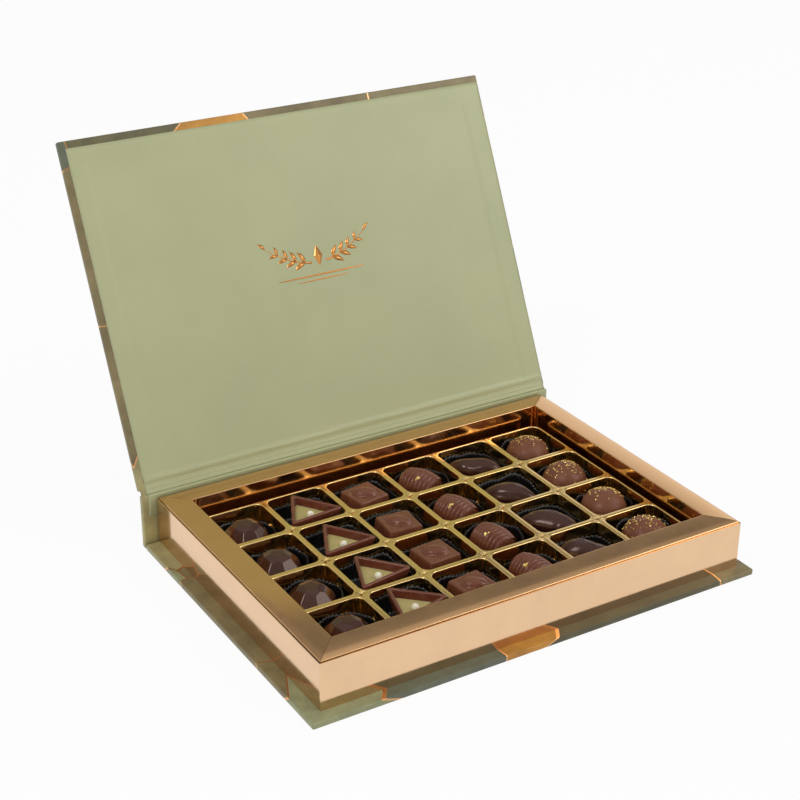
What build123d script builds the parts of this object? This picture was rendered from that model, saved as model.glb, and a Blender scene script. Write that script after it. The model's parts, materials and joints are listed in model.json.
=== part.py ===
from build123d import *
import math
import os

# Chocolate box made like a book, opened, with its tray of pralines. Sizes in millimetres, angles in degrees.
# It stands on z = 0. Its front is towards -Y, the hinge of its lid along the back, and X runs to the right.

# Case: base board, spine and lid board, joined by one sheet of wrap paper and one of lining paper
board = 3.0
paper = 0.3
turn_in = 14.0  # wrap paper turned in over a board's inner face
side_margin = 7.1  # boards past the box on both sides, on average
base_margin = 7.5  # base board past the front wall of the box
lid_overhang = 1.1  # closed lid past the front edge of the base board
spine_gap = 0.9  # back wall of the box to the lining on the spine

# Hinge: the paper bends about a line just above the spine
hinge_setback = 1.2  # hinge line in from the outer face of the spine
hinge_gap = 2.0  # hinge line to the lower edge of the lid
lid_clearance = 0.3  # closed lid over the ledges, and over the spine
lid_lean = 25.6  # opened lid, back from upright
web_setback = 0.45  # where the lining leaves the spine, in front of the hinge line
web_gap = 0.4  # lining to wrap paper in the hinge groove

# Lining paper
lining_left = 4.1  # wrap paper seen beside the lining, on the left and on the right
lining_right = 0.9
lining_inset = 4.5  # lid's free edge to the lining
lining_drop = 13.4  # lining on the spine, down from its top

# Box: bottom and four walls of folded card, glued onto the base board
box_width = 270.0
box_depth = 193.7
box_height = 28.9  # to the outer fold of the ledges
box_shift = 1.3  # glued this far right of the middle
card = 0.7
wall_drop = 0.8  # top of a wall, below the outer fold of its ledge
wall_fold = 0.6

# Ledges: folded strips, mitred at the corners
ledge_width = 15.4  # outer face of the wall to the inner face of the strip
ledge_rise = 1.5  # inner fold above the outer fold
ledge_crease_share = 0.25
ledge_crease_rise_share = 0.45
lip_gap = 0.25  # wall to the strip's lip
lip_length = 10.0
flange_width = 8.0  # glue flange on the bottom of the box
mitre_gap = 0.1

# Tray: one thin sheet with a cell for each praline, and a column of cells for each kind
kind_order = ("dome", "triangle", "square", "barrel", "almond", "truffle")
rows = 4
rib = 3.4
rim = 1.2
sheet = 0.5
tray_gap = 2.1  # to the ledge's inner wall, on the left and in front
tray_gap_right = 3.5
tray_gap_back = 6.0
tray_seat = 0.2  # skirt over the bottom of the box
tray_height = 19.6
cell_depth = 15.5
cell_corner = 5.0
cell_draft = 2.0
rib_round = 0.9
tray_corner = 6.2

# Paper cups
cup_paper = 0.3
cup_height = 13.5
cup_gap = 0.475  # narrower side of a cell to the top of a cup pressed square by it
cup_lean = 0.85  # its top past its foot, on each side
pressed_corner = 4.5
round_cup_gap = 0.4  # a round cup's top inside the side of a pressed one
round_cup_lean = 1.7

# Pralines
praline_seat = 0.2  # praline over the floor of its cup
praline_edge = 0.9

# Faceted dome: an ellipsoid cut by rings of flat facets
dome_gap = 1.9  # foot of its cup to the dome
dome_height = 16.2
dome_table_share = 0.96
dome_ring_angles = (14.0, 42.0, 68.0)
dome_ring_counts = (10, 8, 5)

# Triangle shell with a filling and a pearl
triangle_reach = 1.4  # long side past the side of its cup, were its corners sharp
triangle_leg_reach = 0.9
triangle_height = 16.6
triangle_draft = 11.0
triangle_round = 1.6
triangle_wall = 1.7
triangle_floor = 2.0
filling_drop = 3.6
pearl_radius = 2.3
pearl_sink = 1.0
pearl_shift = 1.7  # from the middle of the triangle towards its long side
triangle_forward = 4.2  # middle of the triangle in front of the middle of its cell

# Square with an oval bump
square_gap = 11.2  # shorter than the side of its cup
square_height = 13.2
square_draft = 7.0
bump_half_length = 6.2
bump_radius = 3.3
bump_rise = 2.0
bump_turn = -40.0

# Ridged half barrel
barrel_length_share = 0.737  # of the width of its cup's foot
barrel_width_share = 0.717
barrel_belly = 2.1  # middle past the ends
barrel_height = 17.2
barrel_ridges = 8
ridge_depth = 0.55

# Long almond shape
almond_reach = 1.0  # longer than the side of its cup, which it lies across
almond_radius = 8.2
almond_tip_radius = 3.2
almond_height = 14.4

# Round truffle
truffle_gap = 1.3  # foot of its cup to the truffle
truffle_half_height = 12.0
truffle_height = 18.8

# How far each praline is turned, from the back row to the front
dome_turns = (12.0, -9.0, 30.0, 4.0)
triangle_turns = (4.0, 4.5, 9.0, 16.0)
square_turns = (9.0, -5.0, 4.0, 7.0)
barrel_turns = (22.0, 15.0, 10.0, 13.0)
almond_turns = (-48.0, -48.0, -46.0, -38.0)
truffle_turns = (20.0, 75.0, 0.0, 140.0)
triangle_nudge_share = ((0, 0), (0, 0), (0, 0), (0.056, 0.07))  # off its place in the cell, in legs

overrun = 1.0  # how far a cutting shape runs past what it cuts

# Heights
base_top = board + 2 * paper
wall_top = base_top + box_height - wall_drop
ledge_outer = base_top + box_height
ledge_inner = ledge_outer + ledge_rise
hinge_z = ledge_inner + lid_clearance
spine_top = hinge_z - lid_clearance
spine_height = spine_top - paper
box_floor = base_top + card
tray_foot = box_floor + tray_seat
tray_top = tray_foot + tray_height
cell_floor = tray_top - cell_depth
praline_foot = cell_floor + cup_paper + praline_seat

# Places from front to back
spine_thickness = board + 2 * paper
case_depth = base_margin + box_depth + spine_gap + paper + spine_thickness
front_y = -case_depth / 2
box_front = front_y + base_margin
box_back = box_front + box_depth
box_middle = (box_front + box_back) / 2
spine_lining_face = box_back + spine_gap
spine_face = spine_lining_face + paper
spine_back = spine_face + spine_thickness
hinge_y = spine_back - hinge_setback
base_length = box_back - front_y
lid_length = hinge_y - hinge_gap - front_y + lid_overhang
tray_width = box_width - 2 * ledge_width - tray_gap - tray_gap_right
tray_depth = box_depth - 2 * ledge_width - tray_gap - tray_gap_back
tray_left = box_shift - box_width / 2 + ledge_width + tray_gap
tray_front = box_front + ledge_width + tray_gap
pitch_x = (tray_width - 2 * rim + rib) / len(kind_order)
pitch_y = (tray_depth - 2 * rim + rib) / rows
cell_x = pitch_x - rib
cell_y = pitch_y - rib

# Across the case
case_width = box_width + 2 * side_margin
lining_width = case_width - lining_left - lining_right
lining_shift = (lining_left - lining_right) / 2

# Cups and pralines
cup_side = min(cell_x, cell_y) - 2 * cup_gap
pressed_foot = cup_side - 2 * cup_lean
cup_top_radius = cup_side / 2 - round_cup_gap
cup_foot_radius = cup_top_radius - round_cup_lean
dome_radius = cup_foot_radius - dome_gap
triangle_long = cup_side + triangle_reach
triangle_leg = cup_side + triangle_leg_reach
triangle_rise = math.sqrt(triangle_leg**2 - (triangle_long / 2) ** 2)
triangle_middle = triangle_long * triangle_rise / (triangle_long + 2 * triangle_leg)
square_side = cup_side - square_gap
barrel_length = 2 * cup_foot_radius * barrel_length_share
barrel_radius = cup_foot_radius * barrel_width_share
barrel_end_radius = barrel_radius - barrel_belly
almond_length = cup_side + almond_reach
truffle_radius = cup_foot_radius - truffle_gap

lean_out = math.sin(math.radians(lid_lean))
lean_up = math.cos(math.radians(lid_lean))

# Planes: on each, x runs across, y away from the hinge or the foot, and z out of the inner face
base_plane = Plane(origin=(0, box_back, base_top), x_dir=(-1, 0, 0), z_dir=(0, 0, 1))
spine_plane = Plane(origin=(0, spine_face, 0), x_dir=(1, 0, 0), z_dir=(0, -1, 0))
lid_plane = Plane(origin=(0, hinge_y, hinge_z), x_dir=(1, 0, 0), z_dir=(0, -lean_up, lean_out))
lid_panel_plane = Plane(lid_plane.from_local_coords((0, hinge_gap, -paper)), (1, 0, 0), lid_plane.z_dir)


def finish(piece, name):
    """Label a finished piece and write it."""
    piece.part.label = name
    export_step(piece.part, f"parts/{name}.step")


def lid_point(along, depth):
    """A point on the lid's section: along the lid from the hinge line, and depth behind its lining."""
    point = lid_plane.from_local_coords((0, along, -depth))
    return (point.Y, point.Z)


def panel_board(plane, length, start):
    """Greyboard of a covered panel, from start to one paper short of the panel's length."""
    with BuildPart() as made:
        with BuildSketch(plane.offset(-paper)):
            with Locations((0, (start + length - paper) / 2)):
                Rectangle(case_width - 2 * paper, length - paper - start)
        extrude(amount=-board)
    return made


def panel_wrap(plane, length, start):
    """Wrap paper round a panel's outer face and edges, turned in over three sides of its inner face."""
    with BuildPart() as made:
        with BuildSketch(plane):
            with Locations((0, length / 2)):
                Rectangle(case_width, length)
        extrude(amount=-(board + 2 * paper))
        add(panel_board(plane, length, start).part, mode=Mode.SUBTRACT)
        with BuildSketch(plane):
            with Locations((0, (length - turn_in) / 2)):
                Rectangle(case_width - 2 * turn_in, length - turn_in)
        extrude(amount=-paper, mode=Mode.SUBTRACT)
    return made


def section_strip(points, width, middle):
    """A strip of the given section in the YZ plane, run along X about its middle."""
    with BuildPart() as made:
        with BuildSketch(Plane.YZ.offset(middle)):
            with BuildLine():
                Polyline(*points, close=True)
            make_face()
        extrude(amount=width / 2, both=True)
    return made


def ledge_strip(side, length):
    """Folded ledge strip: lip inside the wall, ledge with its crease, inner wall and glue flange.

    The side plane lies on the bottom of the box, its x along the wall and its y into the box.
    """
    lip_face = card + lip_gap
    crease = lip_face + (ledge_width - lip_face) * ledge_crease_share
    outer_height = ledge_outer - box_floor
    crease_height = outer_height + ledge_rise * ledge_crease_rise_share
    inner_height = ledge_inner - box_floor
    inner_back = ledge_width - card
    section = [
        (lip_face, outer_height - lip_length),
        (lip_face, outer_height),
        (crease, crease_height),
        (ledge_width, inner_height),
        (ledge_width, 0),
        (ledge_width - flange_width, 0),
        (ledge_width - flange_width, card),
        (inner_back, card),
        (inner_back, inner_height - card),
        (crease, crease_height - card),
        (lip_face + card, outer_height - card),
        (lip_face + card, outer_height - lip_length),
    ]
    reach = ledge_width + overrun
    half = length / 2 - mitre_gap
    with BuildPart() as made:
        with BuildSketch(Plane(side.origin, x_dir=side.y_dir, z_dir=side.x_dir)):
            with BuildLine():
                Polyline(*section, close=True)
            make_face()
        extrude(amount=length / 2, both=True)
        with BuildSketch(side):
            with BuildLine():
                Polyline((-half, 0), (half, 0), (half - reach, reach), (reach - half, reach), close=True)
            make_face()
        extrude(amount=inner_height + overrun, mode=Mode.INTERSECT)
    return made


def facet_plane(around, up):
    """Plane that touches the dome's ellipsoid, its normal turned around and up."""
    turn, rise = math.radians(around), math.radians(up)
    normal = (math.cos(turn) * math.cos(rise), math.sin(turn) * math.cos(rise), math.sin(rise))
    reach = math.hypot(dome_radius * math.cos(rise), dome_height * math.sin(rise))
    return Plane(origin=[reach * n for n in normal], z_dir=normal)


def triangle_outline(inset):
    """Corners of the triangle, every side moved in by inset. Its long side lies along X, its middle at x = 0."""
    scale = 1 - inset / triangle_middle
    corners = [(-triangle_long / 2, 0), (triangle_long / 2, 0), (0, triangle_rise)]
    return [(x * scale, triangle_middle + (y - triangle_middle) * scale) for x, y in corners]


def cell_middle(column, row):
    """Middle of a cell. Columns count from the left and rows from the back, both from 0."""
    x = tray_left + rim + cell_x / 2 + column * pitch_x
    y = tray_front + rim + cell_y / 2 + (rows - 1 - row) * pitch_y
    return (x, y)


def cells_of(chosen):
    """Middles of all cells in the columns of the chosen kinds."""
    return [cell_middle(kind_order.index(kind), row) for kind in chosen for row in range(rows)]


os.makedirs("parts", exist_ok=True)

# Base board and its wrap
base_board = panel_board(base_plane, base_length, 0)
finish(base_board, "base_board")
base_wrap = panel_wrap(base_plane, base_length, 0)
finish(base_wrap, "base_wrap")

# Spine board
with BuildPart() as spine_board:
    with BuildSketch(spine_plane.offset(-paper)):
        with Locations((0, spine_height / 2)):
            Rectangle(case_width - 2 * paper, spine_height - 2 * paper)
    extrude(amount=-board)
finish(spine_board, "spine_board")

# Spine wrap: round the spine's edges and outer face, turned in at both ends, and on under the gap to the base
with BuildPart() as spine_wrap:
    with BuildSketch(spine_plane):
        with Locations((0, spine_height / 2)):
            Rectangle(case_width, spine_height)
    extrude(amount=-spine_thickness)
    add(spine_board.part, mode=Mode.SUBTRACT)
    with BuildSketch(spine_plane):
        with Locations((0, spine_height / 2)):
            Rectangle(case_width - 2 * turn_in, spine_height)
    extrude(amount=-paper, mode=Mode.SUBTRACT)
    with BuildSketch(Plane.XY):
        with Locations((0, (box_back + spine_face + paper) / 2)):
            Rectangle(case_width, spine_face + paper - box_back)
    extrude(amount=paper)
finish(spine_wrap, "spine_wrap")

# Spine lining: down the spine's inner face, and over its top edge to the hinge
web_y = hinge_y - web_setback
spine_lining = section_strip(
    [
        (spine_lining_face, spine_top - lining_drop),
        (spine_lining_face, spine_top),
        (web_y, spine_top),
        (web_y, spine_height),
        (spine_face, spine_height),
        (spine_face, spine_top - lining_drop),
    ],
    lining_width,
    lining_shift,
)
finish(spine_lining, "spine_lining")

# Hinge lining: the green paper where it bends, from the spine's top edge up to the lid
hinge_lining = section_strip(
    [(web_y, spine_height), lid_point(hinge_gap, paper), lid_point(hinge_gap, 0), (web_y, spine_top)],
    lining_width,
    lining_shift,
)
finish(hinge_lining, "hinge_lining")

# Hinge wrap: the wrap paper at the bottom of the hinge groove, behind the lining
hinge_wrap = section_strip(
    [
        (web_y + web_gap, spine_height),
        lid_point(hinge_gap, 2 * paper),
        lid_point(hinge_gap, 3 * paper),
        (web_y + web_gap + paper, spine_height),
    ],
    case_width,
    0,
)
finish(hinge_wrap, "hinge_wrap")

# Lid board, wrap and lining
lid_board = panel_board(lid_panel_plane, lid_length, paper)
finish(lid_board, "lid_board")
lid_wrap = panel_wrap(lid_panel_plane, lid_length, paper)
finish(lid_wrap, "lid_wrap")
with BuildPart() as lid_lining:
    with BuildSketch(lid_panel_plane):
        with Locations((lining_shift, (lid_length - lining_inset) / 2)):
            Rectangle(lining_width, lid_length - lining_inset)
    extrude(amount=paper)
finish(lid_lining, "lid_lining")

# Box: bottom and walls
with BuildPart() as box_shell:
    with BuildSketch(Plane.XY.offset(base_top)):
        with Locations((box_shift, box_middle)):
            RectangleRounded(box_width, box_depth, wall_fold)
    extrude(amount=wall_top - base_top)
    with BuildSketch(Plane.XY.offset(box_floor)):
        with Locations((box_shift, box_middle)):
            Rectangle(box_width - 2 * card, box_depth - 2 * card)
    extrude(amount=wall_top - box_floor, mode=Mode.SUBTRACT)
finish(box_shell, "box_shell")

# Ledges
box_left = box_shift - box_width / 2
box_right = box_shift + box_width / 2
ledge_sides = {
    "ledge_front": (Plane((box_shift, box_front, box_floor), (1, 0, 0), (0, 0, 1)), box_width),
    "ledge_back": (Plane((box_shift, box_back, box_floor), (-1, 0, 0), (0, 0, 1)), box_width),
    "ledge_left": (Plane((box_left, box_middle, box_floor), (0, -1, 0), (0, 0, 1)), box_depth),
    "ledge_right": (Plane((box_right, box_middle, box_floor), (0, 1, 0), (0, 0, 1)), box_depth),
}
for name, (side, length) in ledge_sides.items():
    finish(ledge_strip(side, length), name)

# Tray: skirt and top, then the cells hung from the top
tray_middle = (tray_left + tray_width / 2, tray_front + tray_depth / 2)
all_cells = cells_of(kind_order)
with BuildPart() as tray:
    with BuildSketch(Plane.XY.offset(tray_foot)):
        with Locations(tray_middle):
            RectangleRounded(tray_width, tray_depth, tray_corner)
    extrude(amount=tray_height)
    with BuildSketch(Plane.XY.offset(tray_foot)):
        with Locations(tray_middle):
            RectangleRounded(tray_width - 2 * sheet, tray_depth - 2 * sheet, tray_corner - sheet)
    extrude(amount=tray_height - sheet, mode=Mode.SUBTRACT)
    with BuildSketch(Plane.XY.offset(tray_top)):
        with Locations(*all_cells):
            RectangleRounded(cell_x + 2 * sheet, cell_y + 2 * sheet, cell_corner + sheet)
    extrude(amount=-(cell_depth + sheet), taper=cell_draft)
    with BuildSketch(Plane.XY.offset(tray_top)):
        with Locations(*all_cells):
            RectangleRounded(cell_x, cell_y, cell_corner)
    extrude(amount=-cell_depth, taper=cell_draft, mode=Mode.SUBTRACT)
    top_face = tray.faces().sort_by(Axis.Z)[-1]
    fillet([edge for wire in top_face.inner_wires() for edge in wire.edges()], rib_round)
finish(tray, "tray")

# Round paper cup
with BuildPart() as round_cup:
    with BuildSketch():
        Circle(cup_foot_radius)
    with BuildSketch(Plane.XY.offset(cup_height)):
        Circle(cup_top_radius)
    loft()
    with BuildSketch(Plane.XY.offset(cup_paper)):
        Circle(cup_foot_radius - cup_paper)
    with BuildSketch(Plane.XY.offset(cup_height)):
        Circle(cup_top_radius - cup_paper)
    loft(mode=Mode.SUBTRACT)

# Cup pressed square by its cell, for the pralines that reach into the corners
with BuildPart() as pressed_cup:
    with BuildSketch():
        RectangleRounded(pressed_foot, pressed_foot, pressed_corner)
    with BuildSketch(Plane.XY.offset(cup_height)):
        RectangleRounded(cup_side, cup_side, pressed_corner)
    loft()
    with BuildSketch(Plane.XY.offset(cup_paper)):
        RectangleRounded(pressed_foot - 2 * cup_paper, pressed_foot - 2 * cup_paper, pressed_corner - cup_paper)
    with BuildSketch(Plane.XY.offset(cup_height)):
        RectangleRounded(cup_side - 2 * cup_paper, cup_side - 2 * cup_paper, pressed_corner - cup_paper)
    loft(mode=Mode.SUBTRACT)

cups = {
    "round_cups": (round_cup, ("dome", "barrel", "truffle")),
    "pressed_cups": (pressed_cup, ("triangle", "square", "almond")),
}
for name, (cup, chosen) in cups.items():
    with BuildPart() as placed:
        with Locations(*[(x, y, cell_floor) for x, y in cells_of(chosen)]):
            add(cup.part)
    finish(placed, name)

# Faceted dome
with BuildPart() as dome:
    with BuildSketch():
        Circle(dome_radius + overrun)
    extrude(amount=dome_height * dome_table_share)
    for ring, (up, count) in enumerate(zip(dome_ring_angles, dome_ring_counts)):
        for n in range(count):
            split(bisect_by=facet_plane((n + ring / 2) * 360 / count, up), keep=Keep.BOTTOM)

# Triangle: shell, filling and pearl
fill_top = triangle_height - filling_drop
with BuildPart() as triangle_shell:
    with BuildSketch(Plane.XY.offset(triangle_height)):
        with BuildLine():
            Polyline(*triangle_outline(0), close=True)
        make_face()
    extrude(amount=-triangle_height, taper=triangle_draft)
    fillet(triangle_shell.edges().filter_by(lambda e: abs(e.tangent_at(0).Z) > lean_out), triangle_round)
with BuildPart() as triangle_hollow:
    with BuildSketch(Plane.XY.offset(triangle_height)):
        with BuildLine():
            Polyline(*triangle_outline(triangle_wall), close=True)
        make_face()
    extrude(amount=triangle_floor - triangle_height, taper=triangle_draft)
with BuildPart() as pearl:
    with Locations((0, triangle_middle - pearl_shift, fill_top + pearl_radius - pearl_sink)):
        Sphere(pearl_radius)
with BuildPart() as filling:
    add(triangle_hollow.part)
    split(bisect_by=Plane.XY.offset(fill_top), keep=Keep.BOTTOM)
    add(pearl.part, mode=Mode.SUBTRACT)
with BuildPart() as triangle:
    add(triangle_shell.part)
    add(triangle_hollow.part, mode=Mode.SUBTRACT)

# Square with an oval bump
with BuildPart() as square:
    with BuildSketch():
        Rectangle(square_side, square_side)
    extrude(amount=square_height, taper=square_draft)
    fillet(square.edges().group_by(Axis.Z)[1:], praline_edge)
    bump_plane = Plane.XY.offset(square_height + bump_rise - bump_radius).rotated((0, 0, bump_turn))
    with BuildSketch(bump_plane):
        Ellipse(bump_half_length, bump_radius)
        with Locations((0, -bump_radius)):
            Rectangle(2 * bump_half_length, 2 * bump_radius, mode=Mode.SUBTRACT)
    revolve(axis=Axis(bump_plane.origin, bump_plane.x_dir), revolution_arc=360)

# Ridged half barrel: a scalloped profile turned about Y, cut off flat below
barrel_axis = barrel_height - barrel_radius
ridge_pitch = barrel_length / barrel_ridges


def barrel_edge(y):
    """Radius of the smooth barrel at y along its axis."""
    return barrel_radius - (barrel_radius - barrel_end_radius) * (2 * y / barrel_length) ** 2


with BuildPart() as barrel:
    with BuildSketch(Plane.XY.offset(barrel_axis)):
        with BuildLine():
            stations = [n * ridge_pitch - barrel_length / 2 for n in range(barrel_ridges + 1)]
            for low, high in zip(stations, stations[1:]):
                crest = (barrel_edge((low + high) / 2), (low + high) / 2)
                foot, head = barrel_edge(low) - ridge_depth, barrel_edge(high) - ridge_depth
                ThreePointArc((foot, low), crest, (head, high))
            end = barrel_edge(barrel_length / 2) - ridge_depth
            Polyline((end, stations[0]), (0, stations[0]), (0, stations[-1]), (end, stations[-1]))
        make_face()
    revolve(axis=Axis((0, 0, barrel_axis), (0, 1, 0)), revolution_arc=360)
    split(bisect_by=Plane.XY, keep=Keep.TOP)

# Long almond: an arc turned about its long axis, with blunt tips, cut off flat below
almond_axis = almond_height - almond_radius
with BuildPart() as almond:
    with BuildSketch(Plane.XY.offset(almond_axis)):
        with BuildLine():
            half = almond_length / 2
            ThreePointArc((-half, almond_tip_radius), (0, almond_radius), (half, almond_tip_radius))
            Polyline((half, almond_tip_radius), (half, 0), (-half, 0), (-half, almond_tip_radius))
        make_face()
    revolve(axis=Axis((0, 0, almond_axis), (1, 0, 0)), revolution_arc=360)
    fillet(almond.edges().filter_by(GeomType.CIRCLE), almond_tip_radius * praline_edge)
    split(bisect_by=Plane.XY, keep=Keep.TOP)

# Round truffle: half an ellipse turned about Z, cut off flat below
truffle_plane = Plane(origin=(0, 0, truffle_height - truffle_half_height), x_dir=(0, 0, 1), z_dir=(0, 1, 0))
with BuildPart() as truffle:
    with BuildSketch(truffle_plane):
        Ellipse(truffle_half_height, truffle_radius)
        with Locations((0, -truffle_radius)):
            Rectangle(2 * truffle_half_height, 2 * truffle_radius, mode=Mode.SUBTRACT)
    revolve(axis=Axis.Z, revolution_arc=360)
    split(bisect_by=Plane.XY, keep=Keep.TOP)


# Each praline in its cell: how far in front of the cell's middle, the turns, and the pieces
triangle_pieces = {"triangle_shell": triangle, "triangle_filling": filling, "pearl": pearl}
kinds = {
    "dome": (0, dome_turns, {"faceted_dome": dome}),
    "triangle": (triangle_middle + triangle_forward, triangle_turns, triangle_pieces),
    "square": (0, square_turns, {"square_praline": square}),
    "barrel": (0, barrel_turns, {"ridged_barrel": barrel}),
    "almond": (0, almond_turns, {"long_almond": almond}),
    "truffle": (0, truffle_turns, {"round_truffle": truffle}),
}
for kind, (drop, turns, masters) in kinds.items():
    for number, (x, y) in enumerate(cells_of([kind])):
        step = triangle_nudge_share[number % len(turns)] if kind == "triangle" else (0, 0)
        place = (x + step[0] * triangle_leg, y - drop + step[1] * triangle_leg, praline_foot)
        for name, master in masters.items():
            with BuildPart() as placed:
                with Locations(Location(place, (0, 0, turns[number % len(turns)]))):
                    add(master.part)
            finish(placed, f"{name}_{number + 1}")
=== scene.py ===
"""Chocolate box made like a book, opened: its papers, cards, tray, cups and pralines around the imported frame."""

import json
import logging
import math
from collections.abc import Callable
from dataclasses import dataclass, field
from enum import Enum

import bmesh
import bpy
import numpy as np
from mathutils import Matrix, Vector

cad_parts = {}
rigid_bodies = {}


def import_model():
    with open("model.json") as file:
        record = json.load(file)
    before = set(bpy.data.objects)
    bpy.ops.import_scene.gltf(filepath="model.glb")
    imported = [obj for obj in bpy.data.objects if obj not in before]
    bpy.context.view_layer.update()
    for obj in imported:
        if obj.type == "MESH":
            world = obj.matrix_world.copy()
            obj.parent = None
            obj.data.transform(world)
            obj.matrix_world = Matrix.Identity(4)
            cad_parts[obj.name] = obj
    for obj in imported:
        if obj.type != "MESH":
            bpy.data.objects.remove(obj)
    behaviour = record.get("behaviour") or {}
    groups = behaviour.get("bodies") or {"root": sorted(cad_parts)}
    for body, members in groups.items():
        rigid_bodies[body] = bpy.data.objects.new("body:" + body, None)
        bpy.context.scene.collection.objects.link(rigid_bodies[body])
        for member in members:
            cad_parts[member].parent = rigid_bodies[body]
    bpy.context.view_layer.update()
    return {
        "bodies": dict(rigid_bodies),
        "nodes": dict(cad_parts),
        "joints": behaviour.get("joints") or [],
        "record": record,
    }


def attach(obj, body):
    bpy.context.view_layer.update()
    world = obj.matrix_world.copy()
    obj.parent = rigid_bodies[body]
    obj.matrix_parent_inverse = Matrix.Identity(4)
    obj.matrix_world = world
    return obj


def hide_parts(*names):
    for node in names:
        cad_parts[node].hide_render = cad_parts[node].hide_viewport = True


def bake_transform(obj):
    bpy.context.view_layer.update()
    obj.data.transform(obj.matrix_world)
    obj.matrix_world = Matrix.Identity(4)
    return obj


Array = np.ndarray
Rgba = tuple[float, float, float, float]

MM = 0.001
MERGE_DISTANCE = 2e-6
TINY = 1e-12
MOULDED_EDGE = 75.0
UP = (0.0, 0.0, 1.0)
FRONT_UP = (0.0, -1.0, 0.5)
WHITE: Rgba = (1.0, 1.0, 1.0, 1.0)
PHOTO_FOCAL = 1733.4
PHOTO_WIDTH = 800
SENSOR_WIDTH = 36.0
LOG = logging.getLogger("chocolate_box")


def srgb(red: float, green: float, blue: float) -> Rgba:
    """Linear colour of an 8-bit screen colour: ((c / 255 + 0.055) / 1.055) to the power 2.4.

    Args:
        red: red from 0 to 255.
        green: green from 0 to 255.
        blue: blue from 0 to 255.

    Returns:
        The linear colour, opaque.
    """
    linear = ((np.array([red, green, blue]) / 255 + 0.055) / 1.055) ** 2.4
    return (float(linear[0]), float(linear[1]), float(linear[2]), 1.0)


def smooth_step(value: Array, start: float, end: float) -> Array:
    """Rise from 0 at start to 1 at end as 3t^2 - 2t^3.

    Args:
        value: where along the rise.
        start: value where the rise starts.
        end: value where it ends, which may be below start.

    Returns:
        The share of the rise, from 0 to 1.
    """
    share = np.clip((value - start) / (end - start), 0, 1)
    return share * share * (3 - 2 * share)


def lattice_noise(points: Array, cell: float, seed: int) -> Array:
    """Smooth noise: random values on a cubic lattice, blended by 3t^2 - 2t^3 along each axis.

    Args:
        points: array of points, with the coordinates last.
        cell: side of one lattice cube.
        seed: which random values.

    Returns:
        Values from -1 to 1, one for each point.
    """
    side = 24
    table = np.random.default_rng(seed).uniform(-1, 1, (side, side, side))
    scaled = points / cell
    low = np.floor(scaled).astype(int)
    share = scaled - low
    share = share * share * (3 - 2 * share)
    total = np.zeros(points.shape[:-1])
    for corner in np.ndindex(2, 2, 2):
        weight = np.prod(np.where(np.array(corner) == 1, share, 1 - share), axis=-1)
        place = (low + corner) % side
        total += weight * table[place[..., 0], place[..., 1], place[..., 2]]
    return total


def rounded_ring(corners: Array, inset: float, radii: Array, arc_steps: int, side_steps: int) -> Array:
    """A convex outline moved in by inset, its corners replaced by arcs that meet the sides in line.

    Args:
        corners: the outline's corners, anticlockwise.
        inset: how far every side moves in.
        radii: radius of the arc at each corner.
        arc_steps: steps in each arc.
        side_steps: steps along each side.

    Returns:
        Points round the outline: for each corner its arc, then the side that follows it.
    """
    edges = np.roll(corners, -1, axis=0) - corners
    normals = np.stack([edges[:, 1], -edges[:, 0]], axis=1) / np.linalg.norm(edges, axis=1)[:, None]
    before = np.roll(normals, 1, axis=0)
    bisector = (before + normals) / (1 + np.sum(before * normals, axis=1))[:, None]
    radii = np.broadcast_to(np.asarray(radii, float), (len(corners),))
    centres = corners - bisector * (inset + radii)[:, None]
    start = np.arctan2(before[:, 1], before[:, 0])
    turn = (np.arctan2(normals[:, 1], normals[:, 0]) - start) % (2 * math.pi)
    angles = start[:, None] + turn[:, None] * np.linspace(0, 1, arc_steps + 1)
    arcs = centres[:, None] + radii[:, None, None] * np.stack([np.cos(angles), np.sin(angles)], axis=-1)
    share = np.linspace(0, 1, side_steps + 1)[1:-1, None]
    following = np.roll(arcs, -1, axis=0)[:, :1]
    sides = arcs[:, -1:] + (following - arcs[:, -1:]) * share
    return np.concatenate([arcs, sides], axis=1).reshape(-1, 2)


def ring_stack(
    corners: Array, insets: Array, heights: Array, radius: Callable[[float], float], steps: tuple[int, int]
) -> list[Array]:
    """Rounded outlines one over the other.

    Args:
        corners: the outline's corners, anticlockwise.
        insets: how far each ring is moved in.
        heights: each ring's height.
        radius: the corner radius for an inset.
        steps: steps in each arc and along each side.

    Returns:
        One ring of points for each height.
    """
    return [
        np.column_stack([ring, np.full(len(ring), height)])
        for inset, height in zip(insets, heights)
        for ring in [rounded_ring(corners, inset, radius(inset), *steps)]
    ]


def closed_stack(rings: list[Array], middle: Array) -> Array:
    """Level rings closed to a point at both ends.

    Args:
        rings: the rings, in order.
        middle: X and Y of both points.

    Returns:
        A closed grid.
    """
    ends = [np.tile([*middle, ring[0, 2]], (len(ring), 1)) for ring in (rings[0], rings[-1])]
    return np.stack([ends[0], *rings, ends[1]])


def closed_turning(radius: Array, height: Array, turn: Array) -> Array:
    """A body turned about the vertical: x = r cos t, y = r sin t.

    Args:
        radius: at each height and angle.
        height: at each height and angle.
        turn: the angles.

    Returns:
        A grid of rings.
    """
    return np.stack(np.broadcast_arrays(radius * np.cos(turn), radius * np.sin(turn), height), axis=-1)


def full_turn(steps: int) -> Array:
    """Angles once round, as one row."""
    return np.linspace(0, 2 * math.pi, steps, endpoint=False)[None, :]


def quarter_turn(steps: int = 6) -> Array:
    """Angles of a quarter turn, both ends included."""
    return np.linspace(0, math.pi / 2, steps)


def unit_ball(steps: int, levels: int) -> Array:
    """Directions all round, in level rings from below to above."""
    lift = np.linspace(-math.pi / 2, math.pi / 2, levels)[:, None]
    return closed_turning(np.cos(lift), np.sin(lift), full_turn(steps))


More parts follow.
